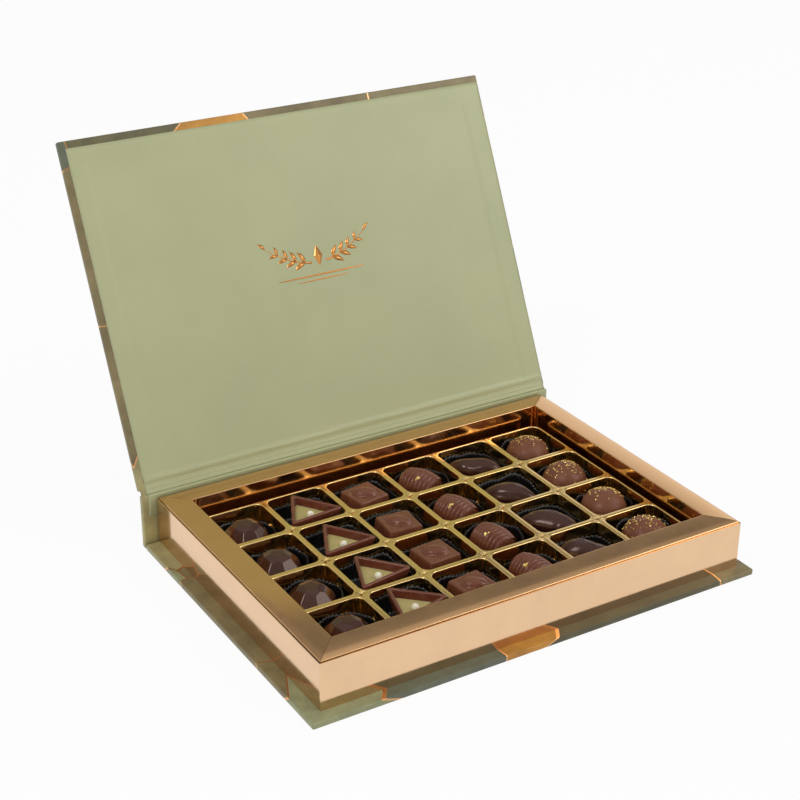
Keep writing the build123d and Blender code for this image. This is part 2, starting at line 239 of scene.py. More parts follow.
def box_corners(width: float, length: float, middle: tuple[float, float] = (0.0, 0.0)) -> Array:
    """Corners of a rectangle about its middle, anticlockwise.

    Args:
        width: size along X.
        length: size along Y.
        middle: where its middle is.

    Returns:
        Four points.
    """
    signs = np.array([(1, 1), (-1, 1), (-1, -1), (1, -1)], float)
    return signs * (width / 2, length / 2) + middle


def bent_line(points: Array, radii: Array, steps: int, closed: bool = False) -> Array:
    """A line of straight runs with each bend eased by a parabola that leaves the runs at its radius.

    Args:
        points: the bends, in order.
        radii: how far from each bend the easing starts.
        steps: steps in each easing.
        closed: whether the last point joins the first.

    Returns:
        Points along the line.
    """
    before, after = np.roll(points, 1, axis=0), np.roll(points, -1, axis=0)
    if not closed:
        before[0], after[-1] = points[0], points[-1]
    radii = np.broadcast_to(np.asarray(radii, float), (len(points),))[:, None]
    reach_in, reach_out = before - points, after - points
    reach_in *= radii / np.maximum(np.linalg.norm(reach_in, axis=1), TINY)[:, None]
    reach_out *= radii / np.maximum(np.linalg.norm(reach_out, axis=1), TINY)[:, None]
    share = np.linspace(0, 1, steps + 1)[None, :, None]
    bend = (1 - share) ** 2 * reach_in[:, None] + share**2 * reach_out[:, None] + points[:, None]
    line = bend.reshape(-1, points.shape[1])
    kept = np.append(np.linalg.norm(np.diff(line, axis=0), axis=1) > 1e-9, True)
    return line[kept]


@dataclass
class Surface:
    """Grids and faces gathered into one mesh."""

    points: list[Array] = field(default_factory=list)
    faces: list[Array] = field(default_factory=list)
    count: int = 0

    def add_grid(self, grid: Array, ring: bool = False) -> None:
        """Add a grid of points with a face between each four neighbours.

        Args:
            grid: rows x columns x 3 coordinates.
            ring: whether the last column joins the first.
        """
        rows, columns = grid.shape[:2]
        index = np.arange(rows * columns).reshape(rows, columns)
        if ring:
            index = np.concatenate([index, index[:, :1]], axis=1)
        corners = [index[:-1, :-1], index[:-1, 1:], index[1:, 1:], index[1:, :-1]]
        self.add_faces(grid.reshape(-1, 3), np.stack(corners, axis=-1).reshape(-1, 4))

    def add_faces(self, points: Array, faces: Array) -> None:
        """Add points and the faces between them.

        Args:
            points: n x 3 coordinates.
            faces: for each face the indices of its corners.
        """
        self.points.append(points)
        self.faces.append(faces + self.count)
        self.count += len(points)

    def build(self, name: str, towards: Vector | None = None, sharp: float = 40.0) -> bpy.types.Object:
        """Make the mesh: points that coincide are merged and the faces are turned outwards.

        Args:
            name: the piece's name.
            towards: for an open sheet, the side that its faces look to.
            sharp: angle in degrees above which an edge stays sharp.

        Returns:
            The piece, at the origin.
        """
        mesh = bpy.data.meshes.new(name)
        faces = [face for block in self.faces for face in block.tolist()]
        mesh.from_pydata(np.concatenate(self.points).tolist(), [], faces)
        made = bmesh.new()
        made.from_mesh(mesh)
        bmesh.ops.remove_doubles(made, verts=made.verts, dist=MERGE_DISTANCE)
        bmesh.ops.dissolve_degenerate(made, edges=made.edges, dist=MERGE_DISTANCE)
        bmesh.ops.recalc_face_normals(made, faces=made.faces)
        if towards is not None:
            facing = sum((f.normal * f.calc_area() for f in made.faces), Vector())
            if facing.dot(towards) < 0:
                bmesh.ops.reverse_faces(made, faces=made.faces)
        made.to_mesh(mesh)
        made.free()
        mesh.shade_smooth()
        mesh.set_sharp_from_angle(angle=math.radians(sharp))
        piece = bpy.data.objects.new(name, mesh)
        bpy.context.scene.collection.objects.link(piece)
        return piece


def thicken(piece: bpy.types.Object, thickness: float, rim_slot: int) -> None:
    """Give a sheet its thickness, behind the side it looks to.

    Args:
        piece: the sheet.
        thickness: in metres.
        rim_slot: how many material slots further on the cut edge's material is.
    """
    solidify = piece.modifiers.new("thickness", "SOLIDIFY")
    solidify.thickness = thickness
    solidify.offset = -1
    solidify.material_offset_rim = rim_slot


def dress(piece: bpy.types.Object, *finishes: "Finish") -> None:
    """Put finishes in a piece's material slots, in order.

    Args:
        piece: a new piece or a CAD node.
        finishes: one for each slot.
    """
    piece.data.materials.clear()
    for finish in finishes:
        piece.data.materials.append(finish.material())


def lay_sheet(
    name: str,
    grids: list[Array],
    towards: tuple[float, float, float],
    thickness: float,
    *finishes: "Finish",
    ring: bool = False,
    sharp: float = 40.0,
) -> bpy.types.Object:
    """Make a dressed sheet from open grids; with a second finish, the cut edge takes that one.

    Args:
        name: the piece's name.
        grids: the grids that make up the sheet.
        towards: the side that it looks to.
        thickness: in metres.
        finishes: of its faces, and of its cut edge.
        ring: whether each grid's last column joins its first.
        sharp: angle in degrees above which an edge stays sharp.

    Returns:
        The piece.
    """
    surface = Surface()
    for grid in grids:
        surface.add_grid(grid, ring)
    piece = surface.build(name, Vector(towards), sharp)
    thicken(piece, thickness, len(finishes) - 1)
    dress(piece, *finishes)
    return piece


class Graph:
    """A node tree being written: nodes are added from left to right and linked by socket name."""

    def __init__(self, tree: bpy.types.NodeTree) -> None:
        """Start on an empty tree."""
        self.tree = tree
        tree.nodes.clear()

    def add(self, kind: str, inputs: dict | None = None, **settings: object) -> bpy.types.Node:
        """Add a node.

        Args:
            kind: the node's type, without the ShaderNode in front.
            inputs: for an input's name or index, a value or a socket to link from.
            settings: the node's own settings.

        Returns:
            The node.
        """
        node = self.tree.nodes.new("ShaderNode" + kind)
        for name, value in settings.items():
            setattr(node, name, value)
        for key, value in (inputs or {}).items():
            if isinstance(value, bpy.types.NodeSocket):
                self.tree.links.new(value, node.inputs[key])
            else:
                node.inputs[key].default_value = value
        return node

    def math(self, operation: str, *values: object) -> bpy.types.NodeSocket:
        """Result of a Math node on up to three values or sockets."""
        return self.add("Math", dict(enumerate(values)), operation=operation).outputs[0]

    def mix(self, share: object, first: object, second: object, blend: str = "MIX") -> bpy.types.NodeSocket:
        """Colour between two colours.

        Args:
            share: how much of the second, a number or a socket.
            first: colour or socket.
            second: colour or socket.
            blend: how the second is laid over the first.

        Returns:
            The mixed colour's socket.
        """
        inputs = {0: share, 6: first, 7: second}
        return self.add("Mix", inputs, data_type="RGBA", blend_type=blend, clamp_factor=True).outputs[2]

    def noise(self, vector: object, scale: float, detail: float = 3.0, rough: float = 0.5) -> bpy.types.NodeSocket:
        """Value of a noise texture.

        Args:
            vector: where it is read.
            scale: features for each metre.
            detail: octaves.
            rough: how strong the finer octaves are.

        Returns:
            The value's socket, from 0 to 1.
        """
        inputs = {"Vector": vector, "Scale": scale, "Detail": detail, "Roughness": rough}
        return self.add("TexNoise", inputs).outputs[0]

    def span(
        self, value: object, low: object, high: object, start: object = 0.0, end: object = 1.0
    ) -> bpy.types.NodeSocket:
        """Value from low..high mapped to start..end and held there."""
        inputs = {0: value, 1: low, 2: high, 3: start, 4: end}
        return self.add("MapRange", inputs, clamp=True).outputs[0]

    def link(self, source: bpy.types.NodeSocket, node: bpy.types.Node, name: str) -> None:
        """Link a socket to a node's input."""
        self.tree.links.new(source, node.inputs[name])

    def grey(self, level: object) -> bpy.types.NodeSocket:
        """Grey of a level."""
        return self.add("CombineColor", {0: level, 1: level, 2: level}).outputs[0]

    def place(self) -> bpy.types.NodeSocket:
        """The piece's own coordinates, in metres."""
        return self.add("TexCoord").outputs["Object"]


class Effect(Enum):
    """Surface effects that several finishes share, each a node group made once."""

    FIBRE = "paper_fibre"
    RIPPLE = "foil_ripple"
    MOTTLE = "cocoa_mottle"

    def group(self) -> bpy.types.NodeTree:
        """The effect's node group, made on first use."""
        found = bpy.data.node_groups.get(self.value)
        if found is not None:
            return found
        tree = bpy.data.node_groups.new(self.value, "ShaderNodeTree")
        tree.interface.new_socket("Vector", in_out="INPUT", socket_type="NodeSocketVector")
        tree.interface.new_socket("Scale", in_out="INPUT", socket_type="NodeSocketFloat")
        tree.interface.new_socket("Tone", in_out="OUTPUT", socket_type="NodeSocketFloat")
        tree.interface.new_socket("Height", in_out="OUTPUT", socket_type="NodeSocketFloat")
        graph = Graph(tree)
        entry = tree.nodes.new("NodeGroupInput")
        leave = tree.nodes.new("NodeGroupOutput")
        vector, scale = entry.outputs["Vector"], entry.outputs["Scale"]
        scaled = graph.add("VectorMath", {0: vector, "Scale": scale}, operation="SCALE").outputs[0]
        makers = {
            Effect.FIBRE: self._fibre,
            Effect.RIPPLE: self._ripple,
            Effect.MOTTLE: self._mottle,
        }
        tone, height = makers[self](graph, scaled)
        tree.links.new(tone, leave.inputs["Tone"])
        tree.links.new(height, leave.inputs["Height"])
        return tree

    @staticmethod
    def _fibre(graph: Graph, scaled: bpy.types.NodeSocket) -> tuple:
        """Short crossed fibres and soft clouds of a calendered paper.

        Args:
            graph: the group's nodes.
            scaled: where it is read.

        Returns:
            The sockets of its tone and its height.
        """
        first = graph.add("Mapping", {"Vector": scaled, "Scale": (1.0, 0.22, 0.22)}).outputs[0]
        second = graph.add("Mapping", {"Vector": scaled, "Scale": (0.25, 1.0, 1.0)}).outputs[0]
        fine = graph.math("ADD", graph.noise(first, 1.0, 4.0, 0.6), graph.noise(second, 1.0, 4.0, 0.6))
        clouds = graph.noise(scaled, 0.02, 3.0, 0.55)
        tone = graph.math("ADD", graph.math("MULTIPLY", clouds, 0.7), graph.math("MULTIPLY", fine, 0.15))
        return tone, graph.math("MULTIPLY", fine, 0.5)

    @staticmethod
    def _ripple(graph: Graph, scaled: bpy.types.NodeSocket) -> tuple:
        """Long soft waves of laminated card, with a fine pressed grain.

        Args:
            graph: the group's nodes.
            scaled: where it is read.

        Returns:
            The sockets of its tone and its height.
        """
        waves = graph.noise(scaled, 1.0, 2.0, 0.45)
        grain = graph.noise(scaled, 60.0, 2.0, 0.5)
        tone = graph.noise(scaled, 5.0, 4.0, 0.6)
        return tone, graph.math("ADD", waves, graph.math("MULTIPLY", grain, 0.02))

    @staticmethod
    def _mottle(graph: Graph, scaled: bpy.types.NodeSocket) -> tuple:
        """Faint bloom clouds and tiny pits of moulded chocolate.

        Args:
            graph: the group's nodes.
            scaled: where it is read.

        Returns:
            The sockets of its tone and its height.
        """
        clouds = graph.noise(scaled, 1.0, 5.0, 0.6)
        pits = graph.add("TexVoronoi", {"Vector": scaled, "Scale": 5.0, "Randomness": 1.0}).outputs["Distance"]
        pitted = graph.span(pits, 0.0, 0.12)
        height = graph.math("ADD", graph.math("MULTIPLY", clouds, 0.6), graph.math("MULTIPLY", pitted, 0.15))
        return clouds, height


@dataclass(frozen=True)
class Finish:
    """A plain finish that the others build on."""

    name: str
    colour: Rgba
    roughness: float = 0.5

    def material(self) -> bpy.types.Material:
        """The finish's material, made on first use."""
        found = bpy.data.materials.get(self.name)
        if found is not None:
            return found
        made = bpy.data.materials.new(self.name)
        made.use_nodes = True
        graph = Graph(made.node_tree)
        shader = graph.add("BsdfPrincipled", {"Base Color": self.colour, "Roughness": self.roughness})
        out = graph.add("OutputMaterial")
        graph.link(shader.outputs[0], out, "Surface")
        self.paint(graph, shader)
        return made

    def paint(self, graph: Graph, shader: bpy.types.Node) -> None:
        """Write what makes this finish its own.

        Args:
            graph: the material's nodes.
            shader: its Principled shader.
        """

    def effect(self, graph: Graph, effect: Effect, scale: float, vector: object = None) -> bpy.types.Node:
        """Place a shared effect.

        Args:
            graph: the material's nodes.
            effect: which effect.
            scale: its scale, for each metre.
            vector: where it is read, or the piece's own coordinates.

        Returns:
            The effect's node.
        """
        node = graph.add("Group", node_tree=effect.group())
        graph.link(vector if vector is not None else graph.place(), node, "Vector")
        node.inputs["Scale"].default_value = scale
        return node

    def bump(self, graph: Graph, shader: bpy.types.Node, height: object, depth: float, strength: float = 1.0) -> None:
        """Feed a height to the shader's normal.

        Args:
            graph: the material's nodes.
            shader: its Principled shader.
            height: the height's socket.
            depth: what a height of 1 is, in metres.
            strength: how much of it shows.
        """
        node = graph.add("Bump", {"Height": height, "Distance": depth, "Strength": strength})
        graph.link(node.outputs[0], shader, "Normal")

    def tone(self, graph: Graph, shader: bpy.types.Node, tone: object, dark: float, light: float) -> None:
        """Darken and lighten the colour with a tone from 0 to 1."""
        level = graph.span(tone, 0.25, 0.75, dark, light)
        shaded = graph.mix(1.0, self.colour, graph.grey(level), "MULTIPLY")
        graph.link(shaded, shader, "Base Color")


@dataclass(frozen=True)
class Paper(Finish):
    """Paper or board in one colour: fibres and soft clouds, from matt to satin."""

    fibre_scale: float = 900.0
    tones: tuple[float, float] = (0.93, 1.06)
    fibre_depth: float = 0.00008
    strength: float = 0.5
    specular: float = 0.45

    def paint(self, graph: Graph, shader: bpy.types.Node) -> None:
        """Fibres in the colour and the relief, and how strongly the paper shines.

        Args:
            graph: the material's nodes.
            shader: its Principled shader.
        """
        fibre = self.effect(graph, Effect.FIBRE, self.fibre_scale)
        self.tone(graph, shader, fibre.outputs["Tone"], *self.tones)
        self.bump(graph, shader, fibre.outputs["Height"], self.fibre_depth, self.strength)
        shader.inputs["Specular IOR Level"].default_value = self.specular


@dataclass(frozen=True)
class PrintedPaper(Finish):
    """Wrap paper printed with plain patches between thin foil lines."""

    patches: tuple[Rgba, ...] = ()
    foil: Rgba = (0.6, 0.3, 0.1, 1.0)
    patch_scale: float = 11.0
    line_width: float = 0.0008
    shift: tuple[float, float, float] = (0.31, 0.12, 0.07)
    fibre_scale: float = 700.0
    fibre_depth: float = 0.00006
    cloud_scale: float = 70.0
    foil_roughness: float = 0.24

    def paint(self, graph: Graph, shader: bpy.types.Node) -> None:
        """Irregular patches, each of one mottled colour, with a foil line along each border.

        Args:
            graph: the material's nodes.
            shader: its Principled shader.
        """
        vector = graph.add("Mapping", {"Vector": graph.place(), "Location": self.shift}).outputs[0]
        cells = {"Vector": vector, "Scale": self.patch_scale, "Randomness": 0.9}
        chosen = graph.add("TexVoronoi", cells, feature="F1").outputs["Color"]
        border = graph.add("TexVoronoi", cells, feature="DISTANCE_TO_EDGE").outputs["Distance"]
        pick = graph.add("SeparateColor", {0: chosen}).outputs[0]
        ramp = graph.add("ValToRGB", {0: pick})
        ramp.color_ramp.interpolation = "CONSTANT"
        stops = ramp.color_ramp.elements
        for number, patch in enumerate(self.patches):
            stop = stops[number] if number < 2 else stops.new(0.5)
            stop.position = number / len(self.patches)
            stop.color = patch
        fibre = self.effect(graph, Effect.FIBRE, self.fibre_scale)
        clouds = graph.noise(vector, self.cloud_scale, 5.0, 0.65)
        level = graph.span(graph.math("MULTIPLY", clouds, fibre.outputs["Tone"]), 0.12, 0.42, 0.62, 1.3)
        print_colour = graph.mix(1.0, ramp.outputs[0], graph.grey(level), "MULTIPLY")
        edge = self.line_width * self.patch_scale
        line = graph.span(border, edge * 0.42, edge * 0.58, 1.0, 0.0)
        graph.link(graph.mix(line, print_colour, self.foil), shader, "Base Color")
        graph.link(line, shader, "Metallic")
        graph.link(graph.span(line, 0.0, 1.0, self.roughness, self.foil_roughness), shader, "Roughness")
        self.bump(graph, shader, fibre.outputs["Height"], self.fibre_depth, 0.5)


@dataclass(frozen=True)
class MetalCard(Finish):
    """Card or sheet laminated with a metal film."""

    ripple_scale: float = 14.0
    ripple_depth: float = 0.00025
    haze: float = 0.06

    def paint(self, graph: Graph, shader: bpy.types.Node) -> None:
        """Long soft waves in the mirror and a haze that comes and goes.

        Args:
            graph: the material's nodes.
            shader: its Principled shader.
        """
        ripple = self.effect(graph, Effect.RIPPLE, self.ripple_scale)
        shader.inputs["Metallic"].default_value = 1.0
        low, high = self.roughness - self.haze / 2, self.roughness + self.haze / 2
        rough = graph.span(ripple.outputs["Tone"], 0.3, 0.7, low, high)
        graph.link(rough, shader, "Roughness")
        self.tone(graph, shader, ripple.outputs["Tone"], 0.95, 1.04)
        self.bump(graph, shader, ripple.outputs["Height"], self.ripple_depth)


@dataclass(frozen=True)
class Chocolate(Finish):
    """Moulded or dipped chocolate."""

    gloss: float = 0.15
    pit_depth: float = 0.00012
    sheen: Rgba = (0.85, 0.6, 0.5, 1.0)
    mottle_scale: float = 180.0
    coat_roughness: float = 0.12

    def paint(self, graph: Graph, shader: bpy.types.Node) -> None:
        """Faint bloom in the colour and roughness, tiny pits, and a thin gloss.

        Args:
            graph: the material's nodes.
            shader: its Principled shader.
        """
        mottle = self.effect(graph, Effect.MOTTLE, self.mottle_scale)
        self.tone(graph, shader, mottle.outputs["Tone"], 0.86, 1.16)
        rough = graph.span(mottle.outputs["Tone"], 0.3, 0.7, self.roughness * 0.8, self.roughness * 1.25)
        graph.link(rough, shader, "Roughness")
        self.bump(graph, shader, mottle.outputs["Height"], self.pit_depth)
        shader.inputs["Specular Tint"].default_value = self.sheen
        shader.inputs["Coat Weight"].default_value = self.gloss
        shader.inputs["Coat Roughness"].default_value = self.coat_roughness


@dataclass(frozen=True)
class Sugar(Finish):
    """Soft cream or sugar that lets a little light in."""

    depth: float = 0.0015
    share: float = 0.25
    mottle_scale: float = 220.0
    mottle_depth: float = 0.0001

    def paint(self, graph: Graph, shader: bpy.types.Node) -> None:
        """Light that spreads under the surface, with a soft uneven tone.

        Args:
            graph: the material's nodes.
            shader: its Principled shader.
        """
        mottle = self.effect(graph, Effect.MOTTLE, self.mottle_scale)
        self.tone(graph, shader, mottle.outputs["Tone"], 0.93, 1.05)
        self.bump(graph, shader, mottle.outputs["Height"], self.mottle_depth)
        shader.inputs["Subsurface Weight"].default_value = self.share
        shader.inputs["Subsurface Scale"].default_value = self.depth


PATCHES = (
    srgb(84, 78, 48),
    srgb(150, 152, 112),
    srgb(104, 98, 64),
    srgb(166, 156, 108),
    srgb(96, 102, 82),
    srgb(128, 114, 76),
    srgb(92, 84, 54),
    srgb(158, 158, 116),
    srgb(198, 138, 48),
    srgb(112, 108, 74),
)
COPPER = srgb(218, 164, 112)
WRAP = PrintedPaper("wrap_print", srgb(100, 92, 58), 0.42, PATCHES, COPPER)
LINING = Paper("sage_lining", srgb(173, 176, 134), 0.38)
CUT_EDGE = Paper("lining_cut_edge", srgb(226, 228, 204), 0.7)
BOARD = Paper("grey_board", srgb(140, 132, 116), 0.85, 500.0, (0.8, 1.15), 0.0002, 1.0, 0.5)
ROSE_CARD = MetalCard("rose_gold_card", srgb(230, 193, 154), 0.11, 9.0, 0.00014)
LEDGE_CARD = MetalCard("antique_gold_card", srgb(232, 184, 132), 0.15, 12.0, 0.0002)
GOLD_SHEET = MetalCard("mirror_gold_sheet", srgb(248, 212, 142), 0.17, 55.0, 0.00016)
FOIL = MetalCard("stamped_foil", srgb(214, 150, 84), 0.22, 160.0, 0.0001)
LEAF = MetalCard("gold_leaf", srgb(250, 220, 136), 0.34, 500.0, 0.0001)
CUP = Paper("black_cup_paper", srgb(15, 14, 14), 0.36, 1500.0, (0.7, 1.3), 0.00006, 1.0, 0.6)
DARK_MILK = Chocolate("dark_milk_chocolate", srgb(62, 31, 22), 0.13, 0.3, 0.00003)
MILK = Chocolate("milk_chocolate", srgb(110, 63, 44), 0.25, 0.2, 0.00006)
BARREL_MILK = Chocolate("ribbed_milk_chocolate", srgb(106, 59, 42), 0.25, 0.2, 0.00006)
SHELL_MILK = Chocolate("shell_milk_chocolate", srgb(104, 54, 37), 0.26, 0.25, 0.00006)
DARK = Chocolate("dark_chocolate", srgb(60, 31, 24), 0.24, 0.15, 0.00006)
TRUFFLE = Chocolate("truffle_chocolate", srgb(114, 69, 50), 0.42, 0.05, 0.0002)
CREAM = Sugar("pistachio_cream", srgb(188, 172, 112), 0.4)
PEARL = Sugar("sugar_pearl", srgb(244, 238, 212), 0.3, 0.001)


@dataclass(frozen=True)
class Panel:
    """A flat panel's own frame: across, along and out of its inner face."""

    origin: tuple[float, float, float]
    across: tuple[float, float, float]
    along: tuple[float, float, float]

    def place(self, points: Array) -> Array:
        """Points of the panel's frame as points of the object.

        Args:
            points: across, along and out, last.

        Returns:
            The same points in the object's frame.
        """
        outward = np.cross(self.across, self.along)
        axes = np.array([self.across, self.along, outward])
        return points @ axes + np.array(self.origin)


@dataclass
class Case:
    """Base board, spine and lid in their printed wrap, and the hinge's wrap."""

    width: float = 284.2 * MM
    thickness: float = 3.6 * MM
    edge_round: float = 0.8 * MM
    turn_in: float = 14.0 * MM
    paper: float = 0.3 * MM
    base_length: float = 201.2 * MM
    spine_height: float = 33.7 * MM
    lid_length: float = 203.9 * MM
    lean: float = math.radians(25.6)
    hinge: tuple[float, float] = (101.8 * MM, 34.3 * MM)
    hinge_gap: float = 2.0 * MM
    box_back: float = 98.2 * MM
    spine_face: float = 99.4 * MM
    web_setback: float = 0.45 * MM
    web_gap: float = 0.4 * MM

    def lid_frame(self) -> Panel:
        """The lid's inner face, from the hinge line."""
        up = (0.0, math.sin(self.lean), math.cos(self.lean))
        return Panel((0.0, *self.hinge), (1.0, 0.0, 0.0), up)

    def frames(self) -> dict[str, tuple[Panel, float, float, float]]:
        """For each wrapped panel its frame, where it starts along it, its length and its inner face's height."""
        base = Panel((0.0, self.box_back, self.thickness), (-1.0, 0.0, 0.0), (0.0, -1.0, 0.0))
        spine = Panel((0.0, self.spine_face, 0.0), (1.0, 0.0, 0.0), (0.0, 0.0, 1.0))
        return {
            "base": (base, 0.0, self.base_length, 0.0),
            "spine": (spine, 0.0, self.spine_height, 0.0),
            "lid": (self.lid_frame(), self.hinge_gap, self.lid_length, -self.paper),
        }

    def cover(self, name: str, frame: Panel, start: float, length: float, top: float) -> bpy.types.Object:
        """Wrap paper round a panel: a rounded outline carried down a profile.

        The profile runs from the bare middle up the turned-in paper's edge, out over the board's rounded
        edge, and back over the outer face.

        Args:
            name: the piece's name.
            frame: the panel's frame.
            start: where the panel starts along it.
            length: the panel's length.
            top: height of the turned-in paper over the frame.

        Returns:
            The piece.
        """
        corners = box_corners(self.width, length, (0.0, start + length / 2))
        edge = self.edge_round
        deep = min(self.turn_in, length / 3)
        bend = quarter_turn()
        insets = [deep, deep, *(edge * (1 - np.sin(bend))), *(edge * (1 - np.cos(bend))), deep]
        heights = [-self.paper, 0.0, *(edge * (np.cos(bend) - 1))]
        heights += [*(-self.thickness + edge * (1 - np.sin(bend))), -self.thickness]
        heights = [top + height for height in heights]
        rings = ring_stack(corners, insets, heights, lambda inset: max(edge * 1.3 - inset, edge * 0.2), (5, 12))
        surface = Surface()
        surface.add_grid(frame.place(closed_stack(rings, np.array([0.0, start + length / 2]))), ring=True)
        return surface.build(name, sharp=50)

    def build(self) -> None:
        """Make the three covers round the boards, the wrap under the spine's foot and the wrap in the hinge groove.
        """
        for name, (frame, start, length, top) in self.frames().items():
            body = "lid" if name == "lid" else "case"
            piece = self.cover(f"{name}_cover", frame, start, length, top)
            dress(piece, WRAP)
            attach(piece, body)
            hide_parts(f"{name}_wrap")
            LOG.info("wrapped %s", name)
        self.spine_foot()
        self.groove()

    def spine_foot(self) -> None:
        """The wrap where it runs on from the spine under the gap to the base: a thin strip on the floor."""
        reach = self.edge_round
        rows = np.array([self.box_back - reach, self.spine_face + reach])
        across = np.linspace(-self.width / 2 + reach, self.width / 2 - reach, 40)
        grid = np.stack(np.broadcast_arrays(across[None, :], rows[:, None], self.paper), axis=-1)
        piece = lay_sheet("spine_foot_wrap", [grid], UP, self.paper * 0.9, WRAP)
        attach(piece, "case")

    def groove(self) -> None:
        """The wrap where it bends behind the lining, from the spine's top to the lid's lower edge."""
        hinge_y, _ = self.hinge
        low = np.array([hinge_y - self.web_setback + self.web_gap, self.spine_height - self.paper])
        frame = self.lid_frame()
        high = frame.place(np.array([0.0, self.hinge_gap + self.paper, -2 * self.paper]))[1:]
        share = np.linspace(0, 1, 9)[:, None]
        line = low + (high - low) * share
        across = np.linspace(-self.width / 2 + self.edge_round, self.width / 2 - self.edge_round, 60)
        grid = np.zeros((len(line), len(across), 3))
        grid[..., 0] = across
        grid[..., 1:] = line[:, None]
        piece = lay_sheet("groove_wrap", [grid], (0.0, -1.0, 0.0), self.paper, WRAP)
        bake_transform(piece)
        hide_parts("hinge_wrap")


@dataclass
class Lining:
    """One sheet of sage paper: down the spine, through the hinge, and over the lid's inner face."""

    case: Case
    width: float = 279.2 * MM
    shift: float = 1.6 * MM
    inset: float = 4.5 * MM
    drop: float = 13.4 * MM
    spine_top: float = 34.0 * MM
    face_y: float = 99.1 * MM
    paper: float = 0.3 * MM
    step_depth: float = 0.2 * MM
    step_width: float = 0.35 * MM
    bead_height: float = 0.14 * MM
    pucker_depth: float = 0.5 * MM
    pucker_reach: float = 10.0 * MM
    most_sunk: float = 0.2 * MM
    fine_reach: float = 12.0 * MM
    spine_bend: float = 0.6 * MM
    bead_place: float = 1.2 * MM
    bead_width: float = 0.6 * MM
    valley_place: float = 4.2 * MM
    valley_width: float = 1.2 * MM
    ridge_place: float = 7.6 * MM
    ridge_width: float = 1.5 * MM
    step_rise: tuple[float, float] = (6.0 * MM, 10.0 * MM)
    pucker_rise: tuple[float, float] = (2.0 * MM, 4.0 * MM)
    pucker_full: float = 3.0 * MM
    edge_rise: tuple[float, float] = (0.2 * MM, 2.2 * MM)
    wave_cell: float = 1.5 * MM
    kink_cell: float = 1.7 * MM
    wave_stretch: float = 14.0
    kink_stretch: float = 3.0
    columns: int = 170

    def section(self) -> tuple[Array, Array, tuple[int, int]]:
        """The sheet's line in the YZ plane.

        Returns:
            Points along the line, for each its distance up the lid from the hinge, and the two row numbers
            where the sheet leaves the spine and reaches the lid.
        """
        hinge_y, _ = self.case.hinge
        web_y = hinge_y - self.case.web_setback
        frame = self.case.lid_frame()
        foot = frame.place(np.array([0.0, self.case.hinge_gap, 0.0]))[1:]
        top = self.spine_top
        bends = np.array([(self.face_y, top - self.drop), (self.face_y, top), (web_y, top)])
        spine = bent_line(bends, np.array([0.0, self.spine_bend, 0.0]), 6)
        web = np.array([web_y, self.spine_top]) + np.linspace(0, 1, 9)[1:, None] * (foot - (web_y, self.spine_top))
        near = np.linspace(0, 1, 31)[1:] * self.fine_reach
        far = self.fine_reach + np.linspace(0, 1, 66)[1:] * (self.case.lid_length - self.inset - self.fine_reach)
        along = np.concatenate([near, far]) + self.case.hinge_gap
        lid = frame.place(np.stack([0 * along, along, 0 * along], axis=1))[:, 1:]
        line = np.concatenate([spine, web, lid])
        up = np.concatenate([np.full(len(spine), -1.0 * MM), np.linspace(0, 2 * MM, len(web)), along])
        return line, up, (len(spine) - 1, len(spine) + len(web) - 1)

    def relief(self, across: Array, up: Array) -> Array:
        """Height of the sheet over its plain line.

        The middle sinks by a step where the turned-in wrap ends under it, and a low bead runs beside the step.
        Near the hinge the paper is puckered: long waves along the hinge with a valley and a ridge beside it.
        It sinks no deeper than most_sunk.

        Args:
            across: distance across the lid.
            up: distance up the lid from the hinge.

        Returns:
            Heights in metres.
        """
        case = self.case
        inner, half = case.width / 2 - case.turn_in, self.step_width
        wide = smooth_step(np.abs(across), inner + half, inner - half)
        end = case.hinge_gap + case.lid_length - case.turn_in
        tall = smooth_step(up, end + half, end - half) * smooth_step(up, *self.step_rise)
        height = -self.step_depth * wide * tall
        bead = np.exp(-(((np.abs(across) - inner - self.bead_place) / self.bead_width) ** 2))
        height += self.bead_height * bead * tall
        level = 0 * up + 0 * across
        places = np.stack([across / self.wave_stretch, up, level], axis=-1)
        kinks = np.stack([across / self.kink_stretch + up, up * 1.3, level], axis=-1)
        waves = lattice_noise(places, self.wave_cell, 3) + 0.6 * lattice_noise(kinks, self.kink_cell, 8)
        near = smooth_step(up, self.pucker_reach, self.pucker_full) * smooth_step(up, *self.pucker_rise)
        valley = np.exp(-(((up - self.valley_place) / self.valley_width) ** 2))
        ridge = np.exp(-(((up - self.ridge_place - 0.5 * MM * waves) / self.ridge_width) ** 2))
        height += near * self.pucker_depth * 0.3 * (waves + 0.4)
        height += self.pucker_depth * (1.1 * ridge - 0.9 * valley)
        height = np.maximum(height, -self.most_sunk)
        return height * smooth_step(up, *self.edge_rise)

    def build(self) -> None:
        """Work out the whole sheet at once, then cut it where the bodies part."""
        line, up, (leave, reach) = self.section()
        across = np.linspace(-self.width / 2, self.width / 2, self.columns) + self.shift
        tangent = np.gradient(line, axis=0)
        tangent /= np.linalg.norm(tangent, axis=1)[:, None]
        normal = np.stack([-tangent[:, 1], tangent[:, 0]], axis=1)
        wide, high = np.meshgrid(across, up)
        height = self.relief(wide, high)
        grid = np.zeros((*wide.shape, 3))
        grid[..., 0] = wide
        grid[..., 1:] = line[:, None] + normal[:, None] * height[..., None]
        cuts = {
            "spine_lining_paper": (0, leave, "case", "spine_lining"),
            "hinge_lining_paper": (leave, reach, None, "hinge_lining"),
            "lid_lining_paper": (reach, len(line) - 1, "lid", "lid_lining"),
        }
        for name, (first, last, body, node) in cuts.items():
            piece = lay_sheet(name, [grid[first : last + 1]], FRONT_UP, self.paper, LINING, CUT_EDGE, sharp=60)
            if body is None:
                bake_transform(piece)
            else:
                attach(piece, body)
            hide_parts(node)
            LOG.info("lining: %s", name)


